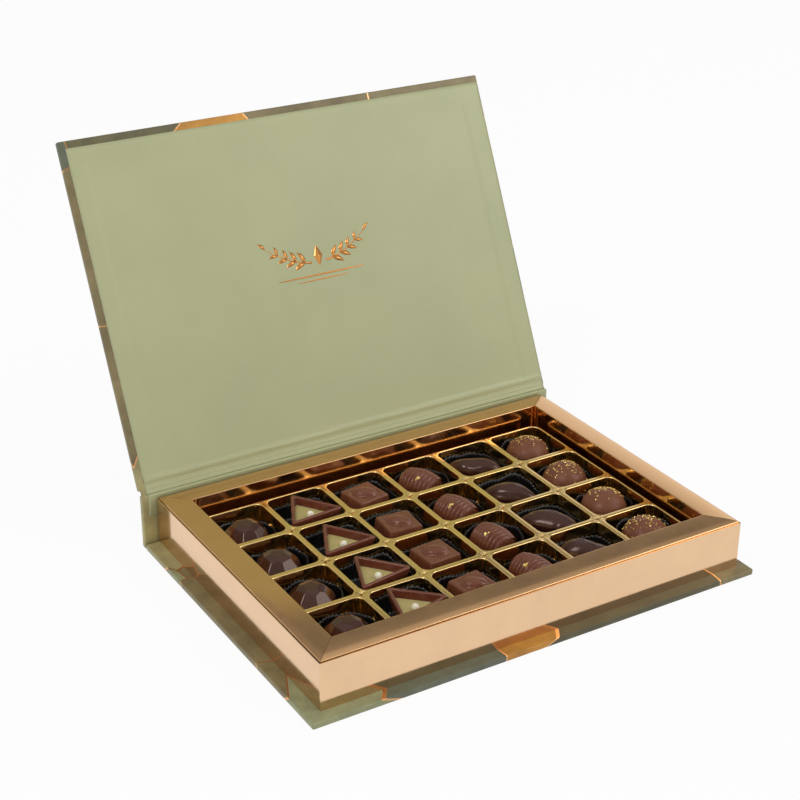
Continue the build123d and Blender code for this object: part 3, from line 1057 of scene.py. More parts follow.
@dataclass
class Ornament:
    """A foil ornament stamped on the lid's lining: two leafy sprigs, a lozenge and two rules."""

    case: Case
    centre: tuple[float, float] = (3.0 * MM, 112.0 * MM)
    lift: float = 0.04 * MM
    sink: float = 0.2 * MM
    samples: int = 90
    stem_size: tuple[float, float] = (29.0, 13.0)
    stem_foot: tuple[float, float] = (5.0, -2.0)
    leaf_places: tuple[float, ...] = (0.16, 0.36, 0.56, 0.76)
    leaf_tilts: tuple[float, float] = (0.95, -0.55)
    leaf_bend: float = 0.08
    leaf_width: float = 0.34
    rules: tuple = ((-10.0, 30.0, 1.0), (-13.0, 18.0, 0.7))
    lozenge: tuple[float, float] = (6.0, 13.0)
    lozenge_rise: float = 1.5 * MM
    narrowest: float = 0.05 * MM

    def ribbon(self, line: Array, width: Array) -> Array:
        """A flat ribbon along a line: each point moved half the width to both sides.

        Args:
            line: points across and along the lid.
            width: the ribbon's width at each point.

        Returns:
            A grid of two rows.
        """
        tangent = np.gradient(line, axis=0)
        tangent /= np.maximum(np.linalg.norm(tangent, axis=1), TINY)[:, None]
        side = np.stack([-tangent[:, 1], tangent[:, 0]], axis=1) * width[:, None] / 2
        return np.stack([line - side, line + side])

    def leaf(self, root: Array, tilt: float, length: float) -> tuple[Array, Array]:
        """A leaf that starts at a root, widest before its middle.

        Args:
            root: where it leaves the stem, from the ornament's centre.
            tilt: its direction, in radians.
            length: its length.

        Returns:
            Points of its middle line and its width at each.
        """
        share = np.linspace(0, 1, 40)
        bend = np.array([-math.sin(tilt), math.cos(tilt)]) * np.sin(math.pi * share)[:, None]
        straight = np.array([math.cos(tilt), math.sin(tilt)]) * share[:, None]
        width = length * self.leaf_width * np.sin(math.pi * share**0.8)
        return root + length * (straight + self.leaf_bend * bend), width

    def build(self) -> None:
        """Lay the ribbons on the lining."""
        share = np.linspace(0, 1, self.samples)
        (reach, rise), (foot, low) = self.stem_size, self.stem_foot
        lines: list[tuple[Array, Array]] = []
        for side in (1.0, -1.0):
            mirror = np.array([side, 1.0])
            stem = np.stack([foot + reach * share, rise * share**1.7 + low], axis=1) * MM
            lines.append((stem * mirror, (1.3 - 0.9 * share) * MM))
            for place in self.leaf_places:
                root = stem[int(place * (self.samples - 1))]
                for tilt in self.leaf_tilts:
                    middle, width = self.leaf(root, tilt + 0.5 * place, (9.0 - 4.0 * place) * MM)
                    lines.append((middle * mirror, width))
            middle, width = self.leaf(stem[-1], 0.75, 6.0 * MM)
            lines.append((middle * mirror, width))
        for height, half, width in self.rules:
            line = np.stack([(share - 0.5) * 2 * half * MM, np.full(self.samples, height * MM)], axis=1)
            lines.append((line, width * MM * np.sin(math.pi * share) ** 0.3))
        wide, tall = self.lozenge
        lozenge = np.stack([0 * share, (share - 0.5) * tall * MM + self.lozenge_rise], axis=1)
        lines.append((lozenge, wide * MM * (1 - np.abs(2 * share - 1))))
        frame = self.case.lid_frame()
        grids = []
        for line, width in lines:
            flat = self.ribbon(line, np.maximum(width, self.narrowest)) + np.array(self.centre)
            height = np.full((*flat.shape[:2], 1), self.lift - self.sink)
            grids.append(frame.place(np.concatenate([flat, height], axis=-1)))
        piece = lay_sheet("lid_foil_flourish", grids, FRONT_UP, self.lift * 0.8, FOIL)
        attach(piece, "lid")
        LOG.info("foil flourish with %d ribbons", len(lines))


@dataclass
class Ledges:
    """Four folded strips of gold card, mitred at the corners."""

    middle: tuple[float, float] = (1.3 * MM, 1.35 * MM)
    width: float = 270.0 * MM
    depth: float = 193.7 * MM
    floor: float = 4.3 * MM
    outer: float = 32.5 * MM
    inner: float = 34.0 * MM
    card: float = 0.7 * MM
    lip: float = 0.95 * MM
    lip_length: float = 10.0 * MM
    reach: float = 15.4 * MM
    flange: float = 8.0 * MM
    crease: float = 0.25
    crease_rise: float = 0.45
    gap: float = 0.1 * MM
    wave: float = 0.07 * MM
    wave_cells: tuple[float, float] = (70.0 * MM, 31.0 * MM)

    def profile(self) -> Array:
        """The strip's closed section with eased folds: inwards from the wall, and up from the floor."""
        card, rise = self.card, self.inner - self.outer
        fold = self.lip + (self.reach - self.lip) * self.crease
        fold_height = self.outer + rise * self.crease_rise
        points = np.array(
            [
                (self.lip, self.outer - self.lip_length),
                (self.lip, self.outer),
                (fold, fold_height),
                (self.reach, self.inner),
                (self.reach, self.floor),
                (self.reach - self.flange, self.floor),
                (self.reach - self.flange, self.floor + card),
                (self.reach - card, self.floor + card),
                (self.reach - card, self.inner - card),
                (fold, fold_height - card),
                (self.lip + card, self.outer - card),
                (self.lip + card, self.outer - self.lip_length),
            ]
        )
        radii = np.array([0.05, 0.45, 1.1, 0.55, 0.3, 0.1, 0.1, 0.2, 0.2, 0.5, 0.2, 0.05]) * MM
        return bent_line(points, radii, 6, closed=True)

    def strip(
        self, name: str, corner: tuple[float, float], along: tuple[float, float], length: float, seed: int
    ) -> None:
        """One strip: its section carried along the wall, shortened with depth for the mitres.

        Args:
            name: the CAD node that it stands for.
            corner: middle of the wall's outer face.
            along: unit direction along the wall.
            length: the wall's length.
            seed: which slow waves run along it.
        """
        section = self.profile()
        station = np.linspace(-1, 1, 49)
        half = length / 2 - self.gap - section[:, 0]
        run = station[:, None] * half
        inward = np.array([-along[1], along[0]])
        places = np.stack([run, 0 * run + section[:, 0], 0 * run], axis=-1)
        long, short = self.wave_cells
        slow = lattice_noise(places, long, seed) + 0.5 * lattice_noise(places, short, seed + 5)
        on_top = smooth_step(section[:, 1], self.outer - 2 * MM, self.outer)
        free = np.sin(math.pi * (station + 1) / 2)[:, None] * on_top
        height = section[:, 1] + self.wave * slow * free
        flat = np.array(corner) + run[..., None] * np.array(along) + section[:, :1] * inward
        grid = np.concatenate([flat, np.broadcast_to(height, run.shape)[..., None]], axis=-1)
        surface = Surface()
        surface.add_grid(grid, ring=True)
        for end in (grid[0], grid[-1]):
            surface.add_faces(end, np.arange(len(end))[None, :])
        piece = surface.build(f"{name}_strip", sharp=60)
        dress(piece, LEDGE_CARD)
        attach(piece, "case")
        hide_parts(name)
        LOG.info("ledge strip %s", name)

    def build(self) -> None:
        """Make the four strips."""
        x, y = self.middle
        self.strip("ledge_front", (x, y - self.depth / 2), (1.0, 0.0), self.width, 11)
        self.strip("ledge_back", (x, y + self.depth / 2), (-1.0, 0.0), self.width, 12)
        self.strip("ledge_left", (x - self.width / 2, y), (0.0, -1.0), self.depth, 13)
        self.strip("ledge_right", (x + self.width / 2, y), (0.0, 1.0), self.depth, 14)


@dataclass
class Tray:
    """Vacuum-formed gold sheet with six by four cells, and the paper cups in them."""

    left: float = -116.2 * MM
    front: float = -78.0 * MM
    foot: float = 4.5 * MM
    top: float = 24.1 * MM
    pitch: tuple[float, float] = (39.1 * MM, 38.95 * MM)
    rib: float = 3.4 * MM
    rim: float = 1.2 * MM
    columns: int = 6
    rows: int = 4
    depth: float = 15.5 * MM
    corner: float = 5.0 * MM
    outer_corner: float = 6.2 * MM
    edge: float = 0.5 * MM
    draft: float = math.radians(2.0)
    floor_round: float = 1.6 * MM
    sheet: float = 0.4 * MM
    arc_steps: int = 10
    side_steps: int = 7
    skirt_steps: int = 60
    flute_depth: float = 0.8 * MM
    flute_share: float = 0.11
    flute_top: float = 3.0 * MM
    flute_foot: float = 9.0 * MM
    corner_close: float = 0.5

    def cell_middle(self, column: int, row: int) -> tuple[float, float]:
        """Middle of a cell; columns count from the left and rows from the back."""
        x = self.left + self.rim + (self.pitch[0] - self.rib) / 2 + column * self.pitch[0]
        y = self.front + self.rim + (self.pitch[1] - self.rib) / 2 + (self.rows - 1 - row) * self.pitch[1]
        return (x, y)

    def width(self) -> float:
        """The tray's size along X."""
        return self.columns * self.pitch[0] - self.rib + 2 * self.rim

    def length(self) -> float:
        """The tray's size along Y."""
        return self.rows * self.pitch[1] - self.rib + 2 * self.rim

    def tile(self, column: int, row: int) -> tuple[Array, Array]:
        """The part of the top that belongs to a cell.

        Args:
            column: counted from the left.
            row: counted from the back.

        Returns:
            Its corners, and the radius at each.
        """
        x, y = self.cell_middle(column, row)
        inner = (self.pitch[0] / 2, self.pitch[1] / 2)
        outer = [(pitch - self.rib) / 2 + self.rim - self.edge for pitch in self.pitch]
        right = x + (outer[0] if column == self.columns - 1 else inner[0])
        left = x - (outer[0] if column == 0 else inner[0])
        back = y + (outer[1] if row == 0 else inner[1])
        front = y - (outer[1] if row == self.rows - 1 else inner[1])
        corners = np.array([(right, back), (left, back), (left, front), (right, front)])
        ends_x = np.array([column == self.columns - 1, column == 0, column == 0, column == self.columns - 1])
        ends_y = np.array([row == 0, row == 0, row == self.rows - 1, row == self.rows - 1])
        return corners, np.where(ends_x & ends_y, self.outer_corner - self.edge, 0.02 * MM)

    def cell(self, column: int, row: int) -> Array:
        """Rings of one cell, from the middle of the rib over its eased edge, down the wall and over the floor.

        The wall leans in by the draft, and a shallow flute runs down each corner.

        Args:
            column: counted from the left.
            row: counted from the back.

        Returns:
            A closed grid of rings.
        """
        corners, radii = self.tile(column, row)
        outline = box_corners(self.pitch[0] - self.rib, self.pitch[1] - self.rib, self.cell_middle(column, row))
        bend = quarter_turn()
        lean = math.tan(self.draft)
        wall = np.linspace(self.edge, self.depth - self.floor_round, 6)
        insets = [*(-self.edge + self.edge * np.sin(bend)), *(lean * wall[1:])]
        drops = [*(self.edge * (1 - np.cos(bend))), *wall[1:]]
        low = lean * wall[-1]
        insets += [*(low + self.floor_round * (1 - np.cos(bend[1:])))]
        drops += [*(wall[-1] + self.floor_round * np.sin(bend[1:]))]
        steps = (self.arc_steps, self.side_steps)
        rings = [np.column_stack([rounded_ring(corners, 0.0, radii, *steps), np.zeros(4 * sum(steps))])]
        mid = np.abs(np.arange(4 * sum(steps)) % sum(steps) - self.arc_steps / 2) / self.arc_steps
        flute = np.exp(-((mid / self.flute_share) ** 2))
        centre = np.array(self.cell_middle(column, row))
        for inset, drop in zip(insets, drops):
            ring = rounded_ring(outline, inset, np.full(4, self.corner - inset * self.corner_close), *steps)
            outward = (ring - centre) / np.linalg.norm(ring - centre, axis=1)[:, None]
            place = np.array(drop)
            begun = smooth_step(place, self.edge * 0.5, self.flute_top)
            cut = float(begun * smooth_step(place, self.depth, self.flute_foot))
            ring = ring + outward * (flute * cut * self.flute_depth)[:, None]
            rings.append(np.column_stack([ring, np.full(len(ring), -drop)]))
        rings.append(np.tile([*centre, -self.depth], (len(rings[0]), 1)))
        grid = np.stack(rings)
        grid[..., 2] += self.top
        return grid

    def skirt(self) -> Array:
        """The tray's outer wall, from the eased top edge straight down to the foot."""
        middle = (self.left + self.width() / 2, self.front + self.length() / 2)
        corners = box_corners(self.width(), self.length(), middle)
        bend = quarter_turn()
        insets = [*(self.edge * (1 - np.sin(bend))), *np.full(5, 0.0)]
        heights = [*(self.top - self.edge * (1 - np.cos(bend)))]
        heights += [*np.linspace(self.top - self.edge, self.foot, 6)[1:]]
        steps = (self.arc_steps, self.skirt_steps)
        return np.stack(ring_stack(corners, insets, heights, lambda inset: self.outer_corner - inset, steps))

    def build(self) -> None:
        """Make the sheet from its cells and skirt."""
        grids = [self.cell(column, row) for column in range(self.columns) for row in range(self.rows)]
        grids.append(self.skirt())
        piece = lay_sheet("gold_tray", grids, UP, self.sheet, GOLD_SHEET, ring=True, sharp=70)
        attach(piece, "tray")
        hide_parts("tray")
        LOG.info("tray with %d cells", self.columns * self.rows)


class CupShape(Enum):
    """How a cup stands in its cell: the power of its outline, 2 for a circle and more for a square."""

    ROUND = 2.0
    PRESSED = 7.0


@dataclass
class Cups:
    """Pleated paper cups."""

    tray: Tray
    lowest: float = 7.5 * MM
    height: float = 13.3 * MM
    foot: float = 15.0 * MM
    rim: float = 16.6 * MM
    pleats: int = 46
    pleat_depth: float = 0.6 * MM
    pleat_round: float = 0.96
    foot_pleat: float = 0.35
    flare: float = 0.8
    rim_ripple: float = 0.25 * MM
    rim_spread: tuple[float, float] = (0.3, 1.1)
    paper: float = 0.12 * MM
    lift: float = 0.1 * MM
    around: int = 252

    def cup(self, shape: CupShape, middle: tuple[float, float], seed: int) -> Array:
        """One cup as a grid: a flat foot, then a wall whose radius zigzags in pleats that open to the rim.

        The outline is |x|^p + |y|^p = r^p, with p from the shape.

        Args:
            shape: round or pressed square.
            middle: where it stands.
            seed: its own small differences.

        Returns:
            A closed grid, from the foot's centre to the rim.
        """
        random = np.random.default_rng(seed)
        turn = full_turn(self.around)
        power = shape.value
        outline = (np.abs(np.cos(turn)) ** power + np.abs(np.sin(turn)) ** power) ** (-1 / power)
        share = np.concatenate([np.zeros(3), np.linspace(0, 1, 7)])[:, None]
        inner = np.concatenate([[0.0, 0.6, 0.93], np.ones(7)])[:, None]
        phase = random.uniform(0, 2 * math.pi)
        jitter = 0.35 * np.sin(3 * turn + phase) + 0.25 * np.sin(7 * turn + 2 * phase)
        zigzag = 2 / math.pi * np.arcsin(self.pleat_round * np.sin(self.pleats * turn + jitter + phase))
        depth = self.pleat_depth * (self.foot_pleat + (1 - self.foot_pleat) * share) * inner**3
        radius = inner * outline * (self.foot + (self.rim - self.foot) * share**self.flare) + depth * zigzag
        around = 0.5 + 0.3 * np.sin(turn + phase) + 0.15 * np.sin(3 * turn + 2 * phase)
        around = around + 0.1 * np.sin(8 * turn + phase)
        reach = self.lowest + (self.height - self.lowest) * np.clip(around * random.uniform(*self.rim_spread), 0, 1)
        height = share * (reach + share * self.rim_ripple * zigzag)
        x = middle[0] + radius * np.cos(turn)
        y = middle[1] + radius * np.sin(turn)
        z = self.tray.top - self.tray.depth + self.paper + self.lift + height
        return np.stack(np.broadcast_arrays(x, y, z), axis=-1)

    def build(self) -> None:
        """Make both sets of cups."""
        sets = {"round_cups": (CupShape.ROUND, (0, 3, 5)), "pressed_cups": (CupShape.PRESSED, (1, 2, 4))}
        for name, (shape, columns) in sets.items():
            grids = [
                self.cup(shape, self.tray.cell_middle(column, row), 10 * column + row)
                for column in columns
                for row in range(self.tray.rows)
            ]
            piece = lay_sheet(f"pleated_{name}", grids, UP, self.paper, CUP, ring=True, sharp=80)
            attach(piece, "tray")
            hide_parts(name)
            LOG.info("cups: %s", name)


@dataclass
class Praline:
    """One kind of praline: its master surface about the foot's middle, and its four copies."""

    tray: Tray
    column: int
    turns: tuple[float, float, float, float]
    kind: str
    finish: Finish
    slot: str
    foot: float = 9.1 * MM

    def origin(self, row: int) -> tuple[float, float]:
        """Where the master's middle stands in a row."""
        return self.tray.cell_middle(self.column, row)

    def body(self, row: int) -> str:
        """The CAD body that the praline in a row rides on."""
        return f"{self.kind}_{row + 1}_body"

    def set_down(self, grid: Array, row: int) -> Array:
        """Turn a master's points about the vertical and put them in their cell.

        Args:
            grid: points about the foot's middle.
            row: counted from the back.

        Returns:
            Points in the object's frame.
        """
        turn = math.radians(self.turns[row])
        x, y = self.origin(row)
        across = grid[..., 0] * math.cos(turn) - grid[..., 1] * math.sin(turn) + x
        deep = grid[..., 0] * math.sin(turn) + grid[..., 1] * math.cos(turn) + y
        return np.stack([across, deep, grid[..., 2] + self.foot], axis=-1)

    def place(
        self, name: str, grid: Array, row: int, finish: Finish, slot: str, node: str, sharp: float = MOULDED_EDGE
    ) -> None:
        """Make one piece of a praline.

        Args:
            name: the piece's name.
            grid: closed grid about the foot's middle.
            row: counted from the back.
            finish: what it is made of.
            slot: the record's material slot; not used.
            node: the CAD node that it stands for, or nothing.
            sharp: angle in degrees above which an edge stays sharp.
        """
        surface = Surface()
        surface.add_grid(self.set_down(grid, row), ring=True)
        piece = surface.build(name, sharp=sharp)
        dress(piece, finish)
        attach(piece, self.body(row))
        if node:
            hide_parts(node)

    def master(self, row: int) -> Array:
        """The praline's closed surface; each kind has its own."""
        raise NotImplementedError

    def build(self) -> None:
        """Make the four copies."""
        for row in range(self.tray.rows):
            node = f"{self.kind}_{row + 1}"
            self.place(f"{node}_choc", self.master(row), row, self.finish, self.slot, node)
        LOG.info("pralines: %s", self.kind)


@dataclass
class FacetedDome(Praline):
    """Half ball cut by rings of flat facets."""

    radius: float = 13.9 * MM
    height: float = 16.2 * MM
    table: float = 0.96
    rings: tuple = ((14.0, 10), (42.0, 8), (68.0, 5))
    power: float = 260.0
    around: int = 150
    levels: int = 70

    def master(self, row: int) -> Array:
        """Distance to the surface along a direction d: (sum over facets of (n . d / reach)^p)^(-1/p).

        A large p gives flat facets whose edges are only just rounded.

        Args:
            row: counted from the back; not used.

        Returns:
            A closed grid.
        """
        normals, reaches = [(0.0, 0.0, 1.0)], [self.height * self.table]
        for ring, (up, count) in enumerate(self.rings):
            rise = math.radians(up)
            around = 2 * math.pi * (np.arange(count) + ring / 2) / count
            flat = np.stack([np.cos(around) * math.cos(rise), np.sin(around) * math.cos(rise)], axis=1)
            normals += [(*pair, math.sin(rise)) for pair in flat]
            reaches += [math.hypot(self.radius * math.cos(rise), self.height * math.sin(rise))] * count
        lift = quarter_turn(self.levels)[:, None]
        directions = closed_turning(np.cos(lift), np.sin(lift), full_turn(self.around))
        facing = np.maximum(directions @ np.array(normals).T, 1e-6) / np.array(reaches)
        scale = facing.max(axis=-1, keepdims=True)
        reach = 1 / (scale[..., 0] * np.sum((facing / scale) ** self.power, axis=-1) ** (1 / self.power))
        grid = directions * reach[..., None]
        return np.concatenate([np.zeros((1, self.around, 3)), grid])


@dataclass
class FilledTriangle(Praline):
    """Triangular shell with a rounded rim, a cream filling and a pearl in it."""

    leg: float = 35.5 * MM
    long: float = 36.0 * MM
    height: float = 16.6 * MM
    lean: float = math.radians(11.0)
    wall: float = 2.1 * MM
    corner: float = 1.6 * MM
    fill: float = 5.0 * MM
    inner_lean: float = math.radians(13.0)
    pearl_radius: float = 2.2 * MM
    pearl_sink: float = 1.0 * MM
    pearl_shift: float = 1.7 * MM
    pearl_dents: float = 0.05
    foot_inset: float = 0.8 * MM
    foot_ease: float = 0.1 * MM
    rim_fullness: float = 0.9
    under_fill: float = 1.2 * MM
    cream_insets: tuple[float, ...] = (0.1, 0.0, 0.3, 0.8, 1.5, 2.5)
    cream_heights: tuple[float, ...] = (-1.0, 0.35, 0.2, 0.05, 0.0, 0.0)
    cream_dents: float = 0.06 * MM
    forward: float = 4.2 * MM
    nudges: tuple = ((0, 0), (0, 0), (0, 0), (0.056, 0.07))

    def origin(self, row: int) -> tuple[float, float]:
        """The long side lies in front of the cell's middle; the last triangle lies off its place."""
        x, y = self.tray.cell_middle(self.column, row)
        aside, back = self.nudges[row]
        return (x + aside * self.leg, y - self.middle() - self.forward + back * self.leg)

    def corners(self) -> Array:
        """Corners of the rim, its long side on the X axis."""
        rise = math.sqrt(self.leg**2 - (self.long / 2) ** 2)
        return np.array([(self.long / 2, 0.0), (0.0, rise), (-self.long / 2, 0.0)])

    def middle(self) -> float:
        """How far the middle of the inner circle is from the long side."""
        rise = math.sqrt(self.leg**2 - (self.long / 2) ** 2)
        return self.long * rise / (self.long + 2 * self.leg)

    def rings(self, insets: Array, heights: Array) -> Array:
        """Rounded triangles at the given insets and heights, closed to a point at both ends.

        Args:
            insets: how far each ring is in from the rim.
            heights: the ring's height.

        Returns:
            A closed grid.
        """
        made = ring_stack(
            self.corners(), insets, heights, lambda inset: max(self.corner - inset * 0.4, 0.5 * MM), (8, 14)
        )
        return closed_stack(made, np.array([0.0, self.middle()]))

    def shell(self) -> Array:
        """The shell: up the leaning outer wall, over the rounded rim and down the inner wall to under the filling."""
        slope = math.tan(self.lean)
        half = self.wall / 2
        bend = np.linspace(0, math.pi, 11)
        outer = np.linspace(0.5 * MM, self.height - half, 5)
        rim_in = half * (1 - np.cos(bend))
        rim_up = self.height - half + half * np.sin(bend) * self.rim_fullness
        low = self.height - self.fill - self.under_fill
        inner = np.linspace(self.height - half, low, 6)[1:]
        insets = [slope * self.height + self.foot_inset, slope * (self.height - outer[0]) + self.foot_ease]
        insets += [*(slope * (self.height - outer[1:-1])), *(rim_in + slope * half)]
        insets += [*(self.wall + slope * half + math.tan(self.inner_lean) * (self.height - half - inner))]
        heights = [0.0, outer[0], *outer[1:-1], *rim_up, *inner]
        return self.rings(np.array(insets), np.array(heights))

    def filling(self) -> Array:
        """The filling: level, with a rim that climbs a little at the shell's wall."""
        top = self.height - self.fill
        edge = self.wall + math.tan(self.inner_lean) * (self.fill - self.wall / 2) + 0.05 * MM
        insets = edge + np.array(self.cream_insets) * MM
        heights = top + np.array(self.cream_heights) * MM
        grid = self.rings(insets, heights)
        grid[2:, :, 2] += self.cream_dents * lattice_noise(grid[2:], 3 * MM, 21)
        return grid

    def pearl(self, row: int) -> Array:
        """The pearl: a ball with slow dents."""
        ball = unit_ball(40, 21)
        size = self.pearl_radius * (1 + self.pearl_dents * lattice_noise(ball + row, 0.7, 31))
        height = self.height - self.fill + self.pearl_radius - self.pearl_sink
        return ball * size[..., None] + np.array([0.0, self.middle() - self.pearl_shift, height])

    def build(self) -> None:
        """Make the four shells with their fillings and pearls."""
        for row in range(self.tray.rows):
            number = row + 1
            for name, grid, finish, slot, node in [
                ("triangle_choc", self.shell(), self.finish, self.slot, "triangle_shell"),
                ("triangle_cream", self.filling(), CREAM, "cream", "triangle_filling"),
                ("sugar_pearl", self.pearl(row), PEARL, "pearl", "pearl"),
            ]:
                self.place(f"{name}_{number}", grid, row, finish, slot, f"{node}_{number}")
        LOG.info("pralines: triangle")


@dataclass
class SquareBump(Praline):
    """Square with leaning sides and an oval bump on top."""

    side: float = 23.4 * MM
    height: float = 13.2 * MM
    lean: float = math.radians(7.0)
    edge: float = 0.75 * MM
    corner: float = 0.9 * MM
    bump: tuple[float, float, float] = (7.4 * MM, 4.9 * MM, 2.9 * MM)
    bump_turn: float = math.radians(-40.0)
    groove_depth: float = 0.4 * MM
    groove_place: float = 1.08
    groove_width: float = 0.09
    dent: float = 0.04 * MM
    top_rings: int = 22

    def master(self, row: int) -> Array:
        """Rounded squares up the sides and over the top, raised by an oval bump.

        The bump's height is h (1 - d^2)^0.5, with d the distance from its middle in half axes. A shallow
        groove runs round its foot.

        Args:
            row: counted from the back.

        Returns:
            A closed grid.
        """
        slope = math.tan(self.lean)
        bend = quarter_turn()
        top_inset = slope * self.height
        wall = np.linspace(0, self.height - self.edge, 5)
        insets = [*(slope * wall), *(top_inset + self.edge * (1 - np.cos(bend[1:])) * 0.9)]
        heights = [*wall, *(self.height - self.edge * (1 - np.sin(bend[1:])))]
        half = self.side / 2
        insets += [*np.linspace(insets[-1] + 0.4 * MM, half - 0.6 * MM, self.top_rings)]
        heights += [self.height] * self.top_rings
        corners = box_corners(self.side, self.side)
        made = ring_stack(
            corners, insets, heights, lambda inset: min(self.corner, half - inset - 0.2 * MM), (5, self.top_rings)
        )
        grid = closed_stack(made, np.zeros(2))
        cos, sin = math.cos(self.bump_turn), math.sin(self.bump_turn)
        long = (grid[..., 0] * cos + grid[..., 1] * sin) / self.bump[0]
        short = (grid[..., 1] * cos - grid[..., 0] * sin) / self.bump[1]
        oval = np.clip(1 - long**2 - short**2, 0, 1) ** 0.5
        on_top = smooth_step(grid[..., 2], self.height - 0.05 * MM, self.height)
        grid[..., 2] += self.bump[2] * oval * on_top
        reach = np.sqrt(long**2 + short**2)
        groove = np.exp(-(((reach - self.groove_place) / self.groove_width) ** 2))
        grid[..., 2] -= self.groove_depth * on_top * groove
        grid[..., 2] += self.dent * on_top * lattice_noise(grid, 4 * MM, 40 + row)
        return grid


@dataclass
class RibbedBarrel(Praline):
    """Half barrel with ribs round it and a fleck of gold leaf."""

    length: float = 22.4 * MM
    radius: float = 10.9 * MM
    end_radius: float = 8.8 * MM
    height: float = 17.0 * MM
    ribs: int = 8
    rib_depth: float = 0.9 * MM
    rib_power: float = 0.55
    rounding: float = 0.9 * MM
    end_share: float = 0.86
    slants: tuple[float, float] = (0.35, 0.15)
    fleck_radius: float = 1.1 * MM
    fleck_turn: float = math.radians(124)
    around: int = 120

    def edge(self, along: Array) -> Array:
        """Radius of the smooth barrel at a place along its axis."""
        return self.radius - (self.radius - self.end_radius) * (2 * along / self.length) ** 2

    def skin(self, along: Array, turn: Array, row: int) -> Array:
        """Radius with its ribs: the smooth radius less a groove wherever |sin| of the rib's phase is low.

        Args:
            along: place along the axis.
            turn: angle about it.
            row: counted from the back.

        Returns:
            The radius.
        """
        slant = self.slants[0] * np.sin(turn + 0.6 * row) + self.slants[1] * np.sin(3 * turn)
        phase = math.pi * self.ribs * (along / self.length + 0.5) + slant
        groove = 1 - np.abs(np.sin(phase)) ** self.rib_power
        return self.edge(along) - self.rib_depth * groove

    def master(self, row: int) -> Array:
        """The ribbed skin turned about Y, its ends rounded over, and cut flat at the foot by holding z at 0.

        Args:
            row: counted from the back.

        Returns:
            A closed grid.
        """
        axis = self.height - self.radius
        bend = quarter_turn(7)
        cap = np.concatenate([[0.0, 0.5, 0.8], self.end_share + (1 - self.end_share) * np.sin(bend)])
        shrink = np.concatenate([cap, np.ones(94), cap[::-1]])
        over, half = self.rounding, self.length / 2
        ends = half - over * (1 - np.cos(bend - math.pi / 2))
        body = np.linspace(-half + over, half - over, 96)[1:-1]
        along = np.concatenate([[-half] * 3, -ends, body, ends[::-1], [half] * 3])[:, None]
        turn = full_turn(self.around)
        radius = self.skin(along, turn, row) * shrink[:, None]
        across = radius * np.cos(turn)
        height = np.maximum(axis + radius * np.sin(turn), 0)
        return np.stack(np.broadcast_arrays(across, along, height), axis=-1)

    def fleck(self, row: int) -> Array:
        """A crumpled leaf laid on the ribs: an irregular disc in the skin's own two coordinates.

        Args:
            row: counted from the back.

        Returns:
            A closed grid about the foot's middle.
        """
        turn = full_turn(36)
        share = np.array([0.0, 0.4, 0.75, 1.0, 1.0, 0.75, 0.4, 0.0])[:, None]
        lift = np.array([0.16, 0.2, 0.18, 0.1, -0.05, -0.05, -0.05, -0.05])[:, None] * MM
        ragged = 1 + 0.28 * np.sin(3 * turn + row) + 0.2 * np.sin(5 * turn + 2 * row) + 0.12 * np.sin(11 * turn)
        along = -1.5 * MM + 0.6 * MM * row + share * ragged * self.fleck_radius * np.sin(turn)
        bend = self.fleck_turn + share * ragged * 0.13 * np.cos(turn) + 0.08 * np.sin(turn) * share
        radius = self.skin(along, bend, row) + lift + share * 0.08 * MM * np.sin(9 * turn + row)
        axis = self.height - self.radius
        return np.stack(np.broadcast_arrays(radius * np.cos(bend), along, axis + radius * np.sin(bend)), axis=-1)

    def build(self) -> None:
        """Make the four barrels and their flecks."""
        super().build()
        for row in range(self.tray.rows):
            self.place(f"gold_fleck_{row + 1}", self.fleck(row), row, LEAF, "", "", 40)


@dataclass
class LongAlmond(Praline):
    """Dipped fruit: a long lump with soft folds."""

    length: float = 35.4 * MM
    radius: float = 8.2 * MM
    height: float = 14.4 * MM
    taper: float = 2.3
    sway: float = 1.1 * MM
    fold_depth: float = 0.32
    crease_depth: float = 0.22
    bluntness: tuple[float, ...] = (0.62, 0.7, 0.5, 0.44)
    skew: tuple[float, ...] = (0.1, -0.12, 0.05, -0.2)
    fold_cell: float = 4.2 * MM
    crease_cell: float = 7.0 * MM
    crease_width: float = 0.13
    around: int = 96
    along: int = 90

    def master(self, row: int) -> Array:
        """A lump turned about X: radius R (1 - |t|^p)^q, off its middle, folded by slow noise, held at z = 0.

        Args:
            row: counted from the back.

        Returns:
            A closed grid.
        """
        angle = np.linspace(0, math.pi, self.along)[:, None]
        share = -np.cos(angle)
        turn = full_turn(self.around)
        full = np.clip(1 - np.abs(share) ** self.taper, 0, 1) ** self.bluntness[row] * (1 + self.skew[row] * share)
        radius = self.radius * full
        across = share * self.length / 2
        deep = radius * np.cos(turn) + self.sway * np.sin(math.pi * share * 0.8 + row)
        axis = self.height - self.radius
        rise = axis + radius * np.sin(turn) * (1 + 0.05 * np.sin(3 * share + row))
        grid = np.stack(np.broadcast_arrays(across, deep, rise), axis=-1)
        places = grid * np.array([0.55, 1.0, 1.0]) + 0.05 * row
        folds = lattice_noise(places, self.fold_cell, 51 + row)
        crease = -np.exp(-((lattice_noise(places + 1, self.crease_cell, 61 + row) / self.crease_width) ** 2))
        push = (self.fold_depth * folds + self.crease_depth * crease) * MM * np.minimum(full * 1.6, 1)
        outward = np.stack(np.broadcast_arrays(0 * turn, np.cos(turn), np.sin(turn)), axis=-1)
        grid = grid + push[..., None] * outward
        grid[..., 2] = np.clip(grid[..., 2], 0, self.height + 0.2 * MM)
        return grid


